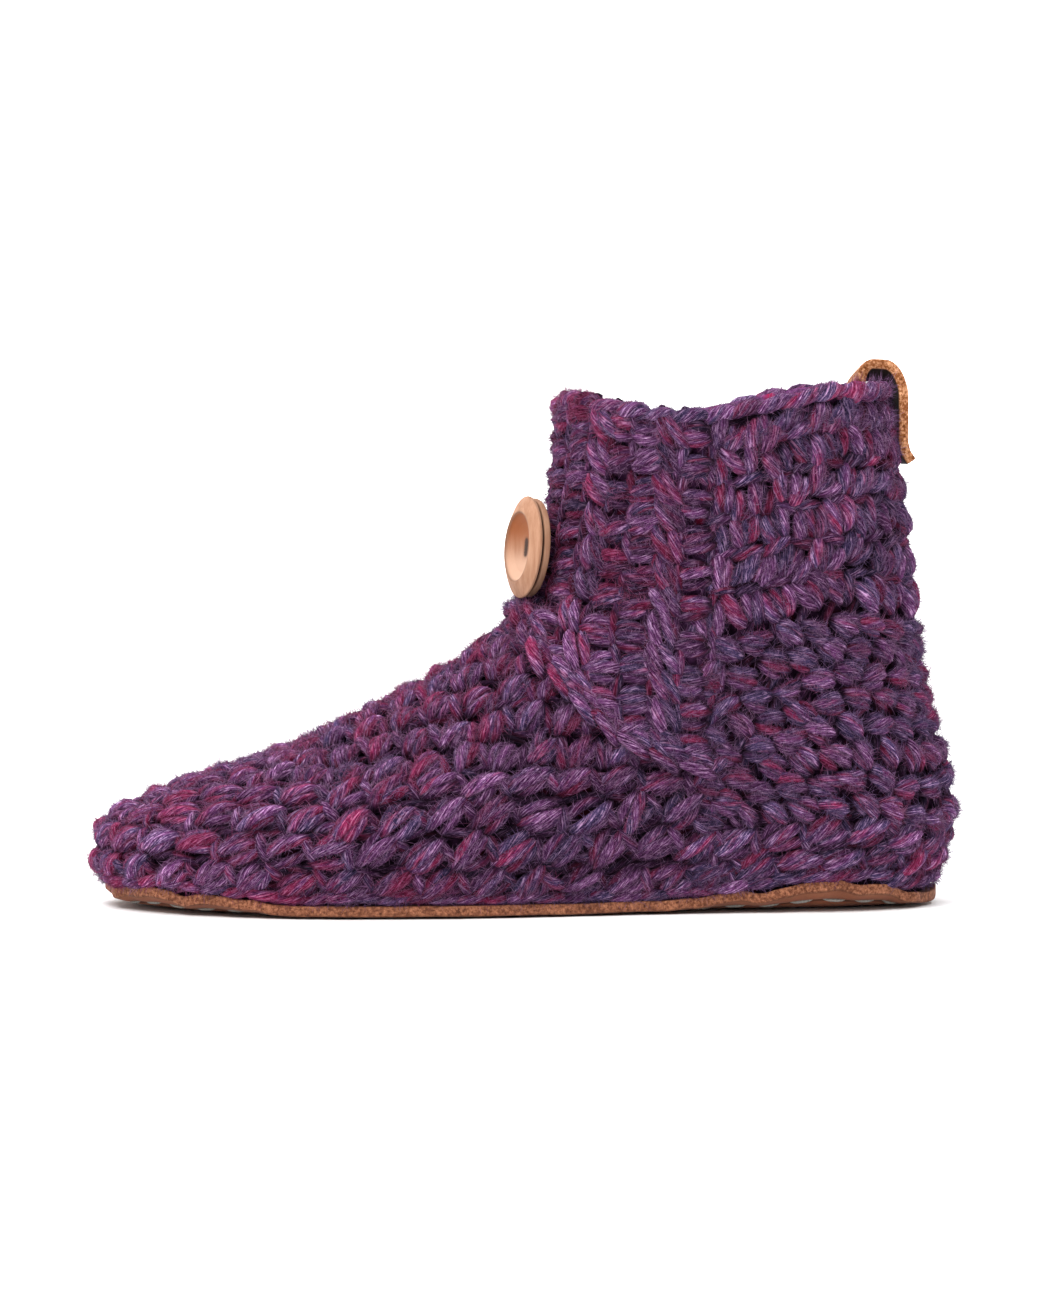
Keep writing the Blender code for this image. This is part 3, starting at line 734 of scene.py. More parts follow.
def wall_strands():
    """Rounds of the heel and shaft: slanted bundles at the sole, then knots of strands, then leaning posts.

    Posts and knots lean one way and the other in turn. The low rounds are kept clear of the sole's lip.
    """
    groups = []
    tables = {"edge": EDGE_STITCH, "low": LOW_STITCH, "knot": KNOT_STITCH, "post": POST_STITCH}
    leans = {"edge": (0.0, 0.0), "low": (0.0, 0.0), "knot": (-12.0, 8.0), "post": (12.0, -22.0)}
    for kind, first, pitch, count, along, slant, tilted in HEEL_ROUNDS:
        for number in range(count):
            above_sole = first + pitch * number
            low = above_sole < LOW_ROUND
            inner_end = FOOT_BACK_X if above_sole < SHAFT_ROUND else SHAFT_INNER_X
            tilt = HEEL_TILT * tilted * math.sin(math.pi * number / count)
            points = wall_row(above_sole, inner_end, tilt)
            row = np.concatenate([points, upright(points)], axis=1)
            found = evenly(row, along, 0.5 * number % 1.0)
            lift = chance.normal(0.0, 0.8 if kind == "post" else 0.5, len(found))
            if low:
                lift = np.maximum(lift, -0.3) + 1.8 * smooth_step((found[:, 0] - 102.0) / 8.0)
            found[:, 2] += np.minimum(lift, HIGHEST_ROUND - above_sole)
            seeds = seeds_on(found[:, :3], found[:, 3:])
            loose = 3.0 if low else 16.0 if kind == "knot" else 9.0
            turned = slant + leans[kind][number % 2] + chance.normal(0.0, loose, len(found))
            groups.append(stitches(seeds, tables[kind], turned, 0.0, 1.3))
            if above_sole + 0.5 * pitch > HIGHEST_FILL:
                continue
            between = evenly(row, 8.4, 0.4)
            seeds = seeds_on(between[:, :3] + 0.5 * pitch * UP, between[:, 3:])
            filling = CHAIN_STITCH if kind == "post" else BETWEEN_STITCH
            turned = (60.0 if kind == "knot" else 8.0) + chance.normal(0.0, 14.0, len(between))
            groups.append(stitches(seeds, filling, turned))
    return joined(groups)


def border_strands():
    """Upright strands that close the joins between foot, heel and flap."""
    groups = []
    joins = ((52.5, -1.0, 14.0, 138.0), (FOOT_BACK_X, 1.0, 14.0, 88.0), (SHAFT_INNER_X, 1.0, 88.0, 136.0))
    for x, side, low, high in joins:
        height = np.arange(low, high, 7.0)
        points = on_form(x, height, side)
        seeds = seeds_on(points, upright(points))
        groups.append(stitches(seeds, EDGE_STITCH, 70.0, -0.8))
    return joined(groups)


def across_flap(outer, inner):
    """Places across the flap from its seam over the front line to its inner end, and their sides."""
    across = np.concatenate([np.linspace(1.0, 0.0, outer), np.linspace(0.0, FLAP_INNER_END, inner)[1:]])
    return across, np.where(np.arange(len(across)) < outer, -1.0, 1.0)


def flap_raise(across):
    """How far the flap's face stands off the form, thinner at its seam."""
    thin = smooth_step((across - 0.9) / 0.1)
    return FIT_GAP + FLAP_THICKNESS + (FLAP_SEAM_THICKNESS - FLAP_THICKNESS) * thin


def flap_strands():
    """The flap: upright columns of puffs, twisted ropes between them, and a chain along its hem."""
    groups = []
    columns = [(at, *column) for places, *column in FLAP_COLUMNS for at in places]
    for number, (at, side, table, pitch, slant) in enumerate(columns):
        foot, top = smooth_columns(FLAP, at)
        count = int((top - foot - 10.0) / pitch) + 1 + number % 2
        height = np.linspace(foot + 5.5, top - 6.0, count)
        points = flap_form(at, height, side)
        seeds = seeds_on(points, upright(points))
        tilt = slant + chance.normal(0.0, 7.0, count)
        groups.append(stitches(seeds, table, tilt, flap_raise(at)))
    across = np.linspace(0.02, 1.0, 120)
    for side, end in ((-1.0, 1.0), (1.0, FLAP_INNER_END)):
        part = across[across <= end]
        hem = flap_form(part, smooth_columns(FLAP, part)[0] + 1.8, side)
        row = np.concatenate([hem, part[:, None]], axis=1)
        found = evenly(row, 8.6, 0.5)
        ahead = at_lengths(hem, part, found[:, 3] + 0.02)
        normal = outward(found[:, :3])
        run = unit(ahead - found[:, :3]) * -side
        seeds = seeds_on(found[:, :3], np.cross(normal, run))
        groups.append(stitches(seeds, HEM_STITCH, 0.0, flap_raise(found[:, 3])))
    return joined(groups)


def rope_over(points, normals, radius):
    """Leaf strands wound over an edge: each runs along it while it turns from the outer side over the top.

    Round the edge an angle runs from the outward normal (0) over straight up to the inner side.
    """
    row = np.concatenate([points, normals], axis=1)
    gone = lengths_along(points[None])[0]
    count = int(gone[-1] / ROPE_PITCH)
    middle = (np.arange(count)[:, None] + 0.5) * gone[-1] / count
    t = np.linspace(-1.0, 1.0, STRAND_RINGS)
    at = np.clip(middle + chance.uniform(0.58, 0.94, (count, 1)) * ROPE_PITCH * t, 0.0, gone[-1])
    found = at_lengths(row, gone, at)
    turn = np.radians(54.0 + ROPE_LEAN * t + chance.normal(0.0, 19.0, (count, 1)))[..., None]
    out = np.cos(turn) * unit(found[..., 3:]) + np.sin(turn) * UP
    stand = 1.5 - 1.6 * np.abs(t) ** 2.5
    thick = radius * (1 - 0.55 * np.abs(t) ** 3) * (1 + 0.17 * chance.normal(0.0, 1.0, (count, 1)))
    thick = np.broadcast_to(thick, at.shape)
    centres = found[..., :3] + stand[:, None] * out
    # The last height, which sets the painted shade and where hairs grow, is raised by 0.9 so the rope's sides
    # are not painted dark.
    return centres, out, thick, np.broadcast_to(stand + 0.9, at.shape), strand_dyes_and_shading(centres)


def collar_paths():
    """The chain along the collar and along the flap's upper edge."""
    groups = []
    for side, start in ((-1.0, SEAM_X), (1.0, SHAFT_INNER_X)):
        x = start + (COLLAR_BACK_X - start) * np.sin(np.linspace(0.0, math.pi / 2, 160))
        points = on_form(np.minimum(x, COLLAR_BACK_X - 0.2), collar_top(x), side)
        normal = outward(points)
        middle = points - 1.7 * normal - 2.4 * UP
        middle[:, 2] += 0.3 * smooth_step((x - 92.0) / 12.0)
        order = slice(None) if side < 0 else slice(None, None, -1)
        groups.append(rope_over(middle[order], normal[order], 2.45))
    part, side = across_flap(90, 60)
    points = flap_form(part, smooth_columns(FLAP, part)[1] - 2.0, side)
    normal = outward(points)
    edge = points + (flap_raise(part) - 1.6)[:, None] * normal
    groups.append(rope_over(edge[::-1], normal[::-1], 2.35))
    return [np.concatenate(columns) for columns in zip(*groups)]


def hair_roots(paths, count, lay):
    """Places on the outermost strands, the directions in which hairs leave there, and the strands' colour
    shares and lightness.

    Of three times as many places, the ones that stand highest over the form are kept. lay 0 sends the hairs
    straight out, and 1 lets them lie along the strand.
    """
    centres, normal, radius, over, dye_and_shading = paths
    strand = chance.integers(0, len(centres), 3 * count)
    ring = chance.integers(1, STRAND_RINGS - 1, 3 * count)
    kept = np.argsort(chance.normal(0.0, 0.5, 3 * count) - over[strand, ring])[:count]
    strand, ring = strand[kept], ring[kept]
    out = normal[strand, ring]
    run = unit(centres[strand, ring + 1] - centres[strand, ring - 1])
    across = unit(np.cross(out, run))
    turn = chance.uniform(-1.4, 1.4, (count, 1))
    spread = np.cos(turn) * out + np.sin(turn) * across
    root = centres[strand, ring] + 0.95 * radius[strand, ring][:, None] * spread
    root = root + chance.uniform(-0.9, 0.9, (count, 1)) * run
    way = np.where(chance.random((count, 1)) < 0.5, -1.0, 1.0)
    astray = (0.5 - 0.25 * lay) * chance.normal(0.0, 1.0, (count, 3))
    return root, unit((1.05 - lay) * spread + lay * way * run + astray), run, dye_and_shading[strand]


def fuzz(name, paths, count, material, reach, lay, thick, pale):
    """A haze of short wool fibres: each is a needle of four triangles, from a small base to its tip."""
    root, leave, run, own = hair_roots(paths, count, lay)
    first = unit(np.cross(leave, run + 0.01))
    second = np.cross(leave, first)
    turn = turns(3)
    base = np.cos(turn)[:, None] * first[:, None] + np.sin(turn)[:, None] * second[:, None]
    tip = root + reach * np.minimum(chance.gamma(2.5, 0.4, (count, 1)), 2.2) * leave
    points = np.concatenate([root[:, None] + thick * base, tip[:, None]], axis=1)
    points[..., 2] = np.maximum(points[..., 2], LOWEST_HAIR)
    corners = np.array([[0, 1, 3], [1, 2, 3], [2, 0, 3], [2, 1, 0]])
    faces = (4 * np.arange(count)[:, None, None] + corners).reshape(-1, 3)
    tint = np.concatenate([pale * chance.random((count, 1)), own[:, :2]], axis=1)
    return mesh_piece(name, points, [faces], material, None, np.repeat(tint, 4, axis=0))


def stray_hairs(name, paths, count, material):
    """Single long hairs, each bending over in a parabola."""
    root, leave, run, own = hair_roots(paths, count, 0.5)
    bend = unit(chance.normal(0.0, 1.0, (count, 3)) + 0.6 * run)
    length = STRAY_REACH * np.minimum(chance.gamma(2.5, 0.4, (count, 1, 1)), 1.6)
    t = np.linspace(0.0, 1.0, 8)[:, None]
    path = root[:, None] + length * (t * leave[:, None] + 1.1 * t**2 * bend[:, None])
    path[..., 2] = np.maximum(path[..., 2], LOWEST_HAIR)
    side = np.broadcast_to(unit(np.cross(leave, bend))[:, None], path.shape)
    scale = 0.06 * (1 - 0.5 * t.T) * np.ones((count, 1))
    points, faces, uv = carried(path, side, circle(3), scale)
    tint = np.concatenate([chance.random((count, 1)), own[:, :2]], axis=1)
    return mesh_piece(name, points, faces, material, uv, np.repeat(tint, 24, axis=0))


def fill(socket, value):
    """Sets a socket's constant. A colour of three numbers is made opaque."""
    socket.default_value = (*value, 1.0) if socket.type == "RGBA" else value


def darker(colour, share):
    """A colour times a share."""
    return tuple(share * value for value in colour)


class Wire:
    """A socket in a material's node tree. Sums and products of wires and numbers add Math nodes."""

    def __init__(self, tree, socket=None):
        self.tree = tree
        self.socket = socket

    def node(self, kind, settings=None, sockets=None, out=0):
        """A node of this kind with its settings made first, then its sockets filled or linked."""
        made = self.tree.nodes.new(kind)
        for name, value in (settings or {}).items():
            setattr(made, name, value)
        for name, value in (sockets or {}).items():
            if isinstance(value, Wire):
                self.tree.links.new(value.socket, made.inputs[name])
            else:
                fill(made.inputs[name], value)
        return Wire(self.tree, made.outputs[out])

    def math(self, operation, first, second=0.0, clamp=False):
        """A Math node, kept between 0 and 1 if asked."""
        settings = {"operation": operation, "use_clamp": clamp}
        return self.node("ShaderNodeMath", settings, {0: first, 1: second})

    def __add__(self, other):
        return self.math("ADD", self, other)

    __radd__ = __add__

    def __sub__(self, other):
        return self.math("SUBTRACT", self, other)

    def __rsub__(self, other):
        return self.math("SUBTRACT", other, self)

    def __mul__(self, other):
        return self.math("MULTIPLY", self, other)

    __rmul__ = __mul__

    def clamped(self):
        """This value, kept between 0 and 1."""
        return self.math("ADD", self, 0.0, True)

    def mix(self, first, second):
        """First colour where this wire is 0, second where it is 1."""
        return self.node("ShaderNodeMix", {"data_type": "RGBA"}, {0: self, 6: first, 7: second}, 2)

    def stretched(self, scale):
        """These coordinates, each times its own scale."""
        return self.node("ShaderNodeVectorMath", {"operation": "MULTIPLY"}, {0: self, 1: scale})

    def shifted(self, offset):
        """These coordinates moved by an offset."""
        return self.node("ShaderNodeVectorMath", {"operation": "ADD"}, {0: self, 1: offset})

    def scaled(self, factor):
        """This colour times a factor that may vary."""
        return self.node("ShaderNodeVectorMath", {"operation": "SCALE"}, {0: self, "Scale": factor})

    def noise(self, scale, detail=3.0, roughness=0.6):
        """Cloudy noise from 0 to 1 at these coordinates."""
        sockets = {"Vector": self, "Scale": scale, "Detail": detail, "Roughness": roughness}
        return self.node("ShaderNodeTexNoise", None, sockets)

    def part(self, index):
        """One of the three parts of a vector or colour."""
        return self.node("ShaderNodeSeparateXYZ", None, {0: self}, index)

    def place(self):
        """The point in its object's own coordinates, in metres."""
        return self.node("ShaderNodeTexCoord", None, None, "Object")

    def run(self):
        """Millimetres gone along a tube, and the share of the way round it."""
        return self.node("ShaderNodeUVMap", {"uv_map": "run"})

    def dye_and_shading(self):
        """The three shares that the piece gives this point: colour shares, and in some pieces painted shade
        and light.
        """
        return self.node("ShaderNodeAttribute", {"attribute_name": "dye_and_shading"})

    def bump(self, height, strength, distance):
        """A normal that is tilted by the slope of a height."""
        sockets = {"Height": height, "Strength": strength, "Distance": distance}
        return self.node("ShaderNodeBump", None, sockets)


def material(name, roughness, **constants):
    """A Principled material with these constants, the start of its wires, and its shader."""
    made = bpy.data.materials.new(name)
    made.use_nodes = True
    shader = made.node_tree.nodes["Principled BSDF"]
    shader.inputs["Roughness"].default_value = roughness
    for socket, value in constants.items():
        fill(shader.inputs[socket.replace("_", " ")], value)
    return made, Wire(made.node_tree), shader


def dressed(made, shader, tone, relief=None):
    """The material, with its colour and its normal linked to its shader."""
    tone.tree.links.new(tone.socket, shader.inputs["Base Color"])
    if relief:
        tone.tree.links.new(relief.socket, shader.inputs["Normal"])
    return made


PLUM = (0.03, 0.006, 0.03)
MAUVE = (0.225, 0.074, 0.225)
LILAC = (0.86, 0.52, 0.84)
WINE = (0.05, 0.004, 0.016)
CRIMSON = (0.34, 0.018, 0.075)
INK = (0.012, 0.011, 0.03)
SLATE = (0.075, 0.068, 0.17)


def heather_yarn(name, light):
    """Streaks of plum, mauve and lilac along each strand, with crimson and slate plies among them, and
    painted shade.
    """
    sheen = {"Sheen_Weight": 0.15, "Sheen_Roughness": 0.4, "Sheen_Tint": (0.5, 0.22, 0.46)}
    made, start, shader = material(name, 0.95, Specular_IOR_Level=0.03, **sheen)
    run, dye_and_shading = start.run(), start.dye_and_shading()
    twisted = run.part(1) + 0.035 * run.part(0)
    slanted = start.node("ShaderNodeCombineXYZ", None, {0: run.part(0), 1: twisted, 2: 0.0})
    fibre = slanted.stretched((0.3, 25.0, 1.0)).noise(1.0, 4.0, 0.66)
    lock = slanted.stretched((0.1, 5.0, 1.0)).shifted((11.0, 83.0, 2.0)).noise(1.0, 2.0, 0.5)
    red_ply = slanted.stretched((0.06, 3.2, 1.0)).noise(1.0, 2.0, 0.5)
    blue_ply = slanted.stretched((0.06, 3.2, 1.0)).shifted((371.0, 19.0, 5.0)).noise(1.0, 2.0, 0.5)
    felted = start.place().noise(850.0, 3.0, 0.7)
    streak = fibre + (felted - 0.5) * 0.2
    body = ((streak - 0.36) * 4.2).clamped()
    fray = (streak - 0.5) * 1.6
    red = ((red_ply - 0.56) * 6.5 + fray + (dye_and_shading.part(0) - 0.27) * 1.4).clamped()
    blue = ((blue_ply - 0.56) * 6.5 + fray + (dye_and_shading.part(1) - 0.24) * 1.4).clamped()
    tone = (0.8 * blue).mix(body.mix(PLUM, MAUVE), body.mix(INK, SLATE))
    tone = (0.85 * red).mix(tone, body.mix(WINE, CRIMSON))
    tone = (((streak - 0.52) * 4.8).clamped() * (1.0 - 0.6 * red)).mix(tone, LILAC)
    # Painted shade: the third share, darker low over the form, times darker creases between the plies where
    # the lock noise is low.
    shade = dye_and_shading.part(2) * (0.3 * light + 1.4 * light * lock)
    relief = start.bump(fibre + 0.5 * lock + 0.4 * felted, 0.8, 0.0010)
    return dressed(made, shader, tone.scaled(shade), relief)


def hair_wool():
    """Single fibres, plum to lilac, turning crimson or slate with the colour shares of their strand."""
    made, start, shader = material("wool_hair", 0.8, Specular_IOR_Level=0.1)
    dye_and_shading = start.dye_and_shading()
    tone = dye_and_shading.part(0).mix((0.06, 0.018, 0.06), (0.42, 0.23, 0.40))
    tone = (0.5 * ((dye_and_shading.part(2) - 0.6) * 2.0).clamped()).mix(tone, SLATE)
    tone = (0.5 * ((dye_and_shading.part(1) - 0.6) * 2.0).clamped()).mix(tone, CRIMSON)
    return dressed(made, shader, tone)


def wool_ground():
    """The wool between and behind the strands: plum to mauve, darkened by painted shade from its third share.
    """
    made, start, shader = material("wool_ground", 0.95, Specular_IOR_Level=0.05)
    place, dye_and_shading = start.place(), start.dye_and_shading()
    felted = place.noise(420.0, 4.0)
    broad = place.noise(160.0, 2.0)
    tone = ((felted - 0.35) * 3.0).clamped().mix(PLUM, MAUVE)
    tone = ((broad - 0.55) * 7.0).clamped().mix(tone, CRIMSON)
    return dressed(made, shader, tone.scaled(dye_and_shading.part(2)), start.bump(felted, 0.8, 0.0008))


def suede(name, dark, pale, skin):
    """Brushed leather: a speckled cut edge where the first share is 1, smoother skin where it is 0.

    The second share scales the colour: painted shade where it is below 1, and paler where it is above 1.
    """
    made, start, shader = material(name, 0.85, Specular_IOR_Level=0.2, Sheen_Weight=0.05)
    place, dye_and_shading = start.place(), start.dye_and_shading()
    broad = place.noise(90.0, 3.0)
    fine = place.noise(1050.0, 3.0, 0.7)
    speckled = ((broad - 0.2) * 0.8 + (fine - 0.5) * 3.6).clamped().mix(dark, pale)
    speckled = ((0.42 - fine) * 8.0).clamped().mix(speckled, darker(dark, 0.3))
    smooth = ((broad - 0.3) * 0.9 + (fine - 0.5) * 0.5).clamped().mix(dark, skin)
    tone = dye_and_shading.part(0).mix(smooth, speckled)
    relief = start.bump(fine * (0.3 + 0.7 * dye_and_shading.part(0)), 0.7, 0.0006)
    return dressed(made, shader, tone.scaled(dye_and_shading.part(1)), relief)


def plain_wood():
    """Pale fine-grained wood. Its three shares turn it browner, dark and paler; the button paints shade and
    light with them.
    """
    made, start, shader = material("pale_wood", 0.7, Specular_IOR_Level=0.15)
    dye_and_shading = start.dye_and_shading()
    grain = start.place().stretched((900.0, 260.0, 90.0)).noise(1.0, 4.0, 0.6)
    tone = ((grain - 0.3) * 1.8).clamped().mix((0.33, 0.158, 0.09), (0.52, 0.295, 0.19))
    tone = dye_and_shading.part(2).clamped().mix(tone, (0.60, 0.38, 0.27))
    tone = dye_and_shading.part(0).clamped().mix(tone, (0.30, 0.095, 0.035))
    tone = dye_and_shading.part(1).clamped().mix(tone, (0.05, 0.028, 0.022))
    return dressed(made, shader, tone, start.bump(grain, 0.15, 0.0003))


def felt():
    """Matted grey felt."""
    made, start, shader = material("grey_felt", 0.95)
    matted = start.place().noise(500.0, 5.0, 0.7)
    tone = matted.mix((0.10, 0.085, 0.085), (0.42, 0.37, 0.37))
    return dressed(made, shader, tone, start.bump(matted, 0.6, 0.0006))


def thread(name, colour):
    """Sewing thread with darker plies."""
    made, start, shader = material(name, 0.8)
    ply = start.run().stretched((1.4, 3.0, 1.0)).noise(1.0, 2.0)
    return dressed(made, shader, ((ply - 0.3) * 2.0).clamped().mix(darker(colour, 0.35), colour))


def wall_ring(share, inset, half):
    """A ring of the wool wall at a share of the height from sole to collar, set in along its normals."""
    side, gone = around(half)
    low = LEATHER + smooth_columns(EDGE, gone)[0]
    height = low + (smooth_columns(COLLAR, gone)[0] - low) * share
    along = ring_along(float(np.mean(height)), side, gone)
    points = on_form(lengthwise(height, along), height, side)
    return points - np.asarray(inset)[..., None] * outward(points)


def wall_piece(ground):
    """The wool wall: outside it lies below the strands, inside it shows the back of the rounds.

    A grid of rings: up the outside, over the rim, and down the inside, where rounds stand out as soft ribs
    with a knot at every stitch.
    """
    half = 90
    shares = np.linspace(0.0, 1.0, 24)
    rings = [sole_ring(2.4, LEATHER + FIT_GAP, half)]
    rings += [wall_ring(share, np.full(2 * half, 3.3), half) for share in shares[1:]]
    rim = wall_ring(1.0, np.full(2 * half, 0.5 * WALL), half)
    rings[-1][:, 2] -= 1.2
    rim[:, 2] -= 0.6
    rings.append(rim)
    turn = turns(2 * half) * KNOTS_ROUND
    for share in np.linspace(1.0, 0.0, 80)[:-1]:
        level = share * WALL_ROUNDS
        rib = np.abs(np.sin(math.pi * level)) ** 0.7
        knot = 0.5 + 0.5 * np.cos(turn + math.pi * (int(level) % 2) + 2.4 * (level % 1.0))
        fade = smooth_step(share * 12.0)
        rings.append(wall_ring(share, WALL - 0.6 + fade * 1.4 * rib * (0.45 + 0.55 * knot), half))
    rings.append(sole_ring(0.8 + WALL, LEATHER + FIT_GAP, half))
    grid = np.stack(rings)
    quads = grid_faces(len(rings), 2 * half, closed_rows=True, closed_columns=True)
    inside = np.arange(len(rings)) > len(shares) - 2
    # Painted shade: the outside, seen only in the gaps between the strands, is darkened to 0.12; the inside
    # is 0.9.
    dye_and_shading = np.ones((len(rings), 2 * half, 3)) * np.where(inside, 0.9, 0.12)[:, None, None]
    return mesh_piece("wool_wall", grid, [quads], ground, None, dye_and_shading)


def flap_piece(ground):
    """The flap's wall under its strands: a sheet with a face, a back and an edge all round."""
    across, side = across_flap(60, 36)
    foot, top = smooth_columns(FLAP, across)
    up = np.linspace(0.0, 1.0, 16)[:, None]
    height = foot + 0.8 + (top - foot - 2.4) * up
    points = flap_form(across, height, side)
    normal = outward(points)
    face = points + (flap_raise(across) - 2.4)[:, None] * normal
    back = points + FIT_GAP * normal
    grid = np.concatenate([face, back[::-1]])
    rows, columns = grid.shape[:2]
    around_edge = grid_faces(rows, columns, closed_rows=True)
    half = rows // 2
    end = np.arange(half - 1)
    left = np.stack([end, end + 1, rows - 2 - end, rows - 1 - end], axis=-1) * columns
    right = left[:, ::-1] + columns - 1
    # Painted shade: the flap's wall, seen only between its strands, is darkened to 0.34.
    dye_and_shading = np.full((rows * columns, 3), 0.34)
    return mesh_piece("flap_ground", grid, [around_edge, left, right], ground, None, dye_and_shading)


def sole_piece(leather):
    """The leather sole: a rounded edge profile carried round the outline, closed flat above and below.

    Where the edge is lifted off the floor it ripples up and down and waves in and out, as sums of sines.
    """
    half = SOLE_STEPS_ROUND
    inset, above, cut, shade = np.array(SOLE_EDGE).T
    rings = np.stack([sole_ring(*row, half) for row in zip(inset, above)])
    turn = turns(2 * half)
    ripple = 0.3 * np.sin(37 * turn) + 0.16 * np.sin(61 * turn + 1.0)
    near_edge = np.maximum(1 - inset / 5.0, 0.0)[:, None]
    free = smooth_step(edge_lift(around(half)[1]) - 0.4)
    rings[..., 2] += near_edge * ripple * free
    waved = near_edge * (0.3 * np.sin(37 * turn + 2.0) + 0.2 * np.sin(53 * turn)) * (0.4 + 0.6 * free)
    plan = rings[0] * [1, 1, 0] + [0, 0, SOLE_PLAN_HEIGHT]
    rings[..., :2] += waved[..., None] * unit(outward(plan)[:, :2])
    # Second share: painted shade in the stitch groove, under the lip and on top, and painted light on the
    # underside.
    dye_and_shading = np.stack(np.broadcast_arrays(cut[:, None], shade[:, None], 0.0 * turn), axis=-1)
    return mesh_piece("leather_sole", rings, capped_rings(rings), leather, None, dye_and_shading)


def sole_thread_piece(grey):
    """Running stitches along the sole's margin: short arcs that dip into the leather at both ends."""
    half = 600
    ring = sole_ring(SOLE_STITCH_INSET, 0.0, half)
    ring = np.concatenate([ring, ring[:1]])
    gone = lengths_along(ring[None])[0]
    t = np.linspace(-1.0, 1.0, 7)
    pitch = gone[-1] / SOLE_STITCHES
    at = ((np.arange(SOLE_STITCHES) + 0.5) * pitch)[:, None] + 0.34 * pitch * t
    path = at_lengths(ring, gone, at)
    proud = 0.25 * smooth_step(path[..., 2] - 0.3) - 0.35
    path[..., 2] -= proud - 0.6 * np.abs(t) ** 3
    scale = np.broadcast_to(SOLE_THREAD * (1 - 0.3 * np.abs(t) ** 3), at.shape)
    points, faces, uv = carried(path, -upright(path), circle(6), scale)
    return mesh_piece("sole_stitching", points, faces, grey, uv)


def insole_piece(wool_felt):
    """The felt insole: a soft-edged outline with a face, closed flat above and below."""
    half = 120
    low = LEATHER + FIT_GAP
    edge = ((7.5, 0.0), (0.6, 0.0), (0.0, 0.6), (0.0, 2.2), (0.5, 2.9), (1.6, FELT), (7.5, FELT))
    rings = np.stack([sole_ring(FELT_RIM + inset, low + above, half) for inset, above in edge])
    return mesh_piece("felt_insole", rings, capped_rings(rings), wool_felt)


def button_axes():
    """The middle of the button's back, its axis and two axes across it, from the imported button's points."""
    cloud = np.array([vertex.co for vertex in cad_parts["button"].data.vertices]) / MM + BOX_MIDDLE
    level = math.cos(BUTTON_TILT)
    axis = np.array([-level * math.cos(BUTTON_TURN), -level * math.sin(BUTTON_TURN), math.sin(BUTTON_TILT)])
    right = unit(np.cross(UP, axis))
    up = np.cross(axis, right)
    ahead, aside, above = cloud @ axis, cloud @ right, cloud @ up
    middle = (aside.min() + aside.max()) / 2 * right + (above.min() + above.max()) / 2 * up
    return middle + ahead.min() * axis, axis, right, up


def button_piece(wood):
    """The button: its profile turned round its axis, browner in the dish, with painted shade and light in it,
    and painted dark at the two holes.

    Its three shares are browner, dark and paler: steps by radius and height, and bell curves at lip and
    holes.
    """
    steps = 96
    profile = np.array(BUTTON)
    gone = lengths_along(profile[None])[0]
    fine = np.unique(np.concatenate([gone, np.linspace(0.0, gone[-1], 60)]))
    radius, height = np.interp(fine, gone, profile[:, 0]), np.interp(fine, gone, profile[:, 1])
    turn = turns(steps)
    seat, axis, right, up = button_axes()
    side, rise = radius[:, None] * np.cos(turn), radius[:, None] * np.sin(turn)
    ahead = np.broadcast_to(height[:, None], side.shape)
    grid = seat + side[..., None] * right + rise[..., None] * up + ahead[..., None] * axis
    radius, height = radius[:, None], height[:, None]
    last_steps = np.arange(len(fine))[:, None] > len(fine) - 26
    dish = (height > 2.2) & last_steps & (radius < DISH_RADIUS)
    # Painted shade and light in the dish: browner and darker towards its top, on the upper inner wall, and
    # paler towards its bottom, on the lower inner wall.
    dish_brown_and_shade = np.where(dish, 0.15 + 0.85 * smooth_step((rise + 2.0) / 8.0), 0.0)
    pale = np.where(dish, smooth_step((1.0 - rise) / 7.0), 0.0)
    # Dark share: rings at the dish's lip and the rim's edge, and painted shade in the groove, on the back
    # disc's rim (more towards the bottom) and at the two holes.
    lip = np.exp(-(((radius - 10.3) / 0.35) ** 2)) * (height > 4.6)
    groove_shade = ((height > 2.0) & (height < 2.8) & (radius > GROOVE_RADIUS)) * 1.0
    behind = ((height < 2.4) & (radius > GROOVE_RADIUS)) * (0.25 + 0.45 * smooth_step(-rise / 14.0))
    hole_shade = np.exp(-((side / 1.2) ** 2) - (np.maximum(np.abs(rise) - 1.7, 0.0) / 0.9) ** 2) * dish
    edge = np.exp(-(((radius - 15.2) / 0.2) ** 2)) * (height > 2.9)
    dark = np.clip(0.5 * lip + 0.85 * groove_shade + behind + 2.4 * hole_shade + 0.4 * edge, 0.0, 1.0)
    dye_and_shading = np.stack([dish_brown_and_shade, dark, pale], axis=-1)
    quads = grid_faces(len(fine), steps, closed_columns=True)
    return mesh_piece("wood_button", grid, [quads], wood, None, dye_and_shading)


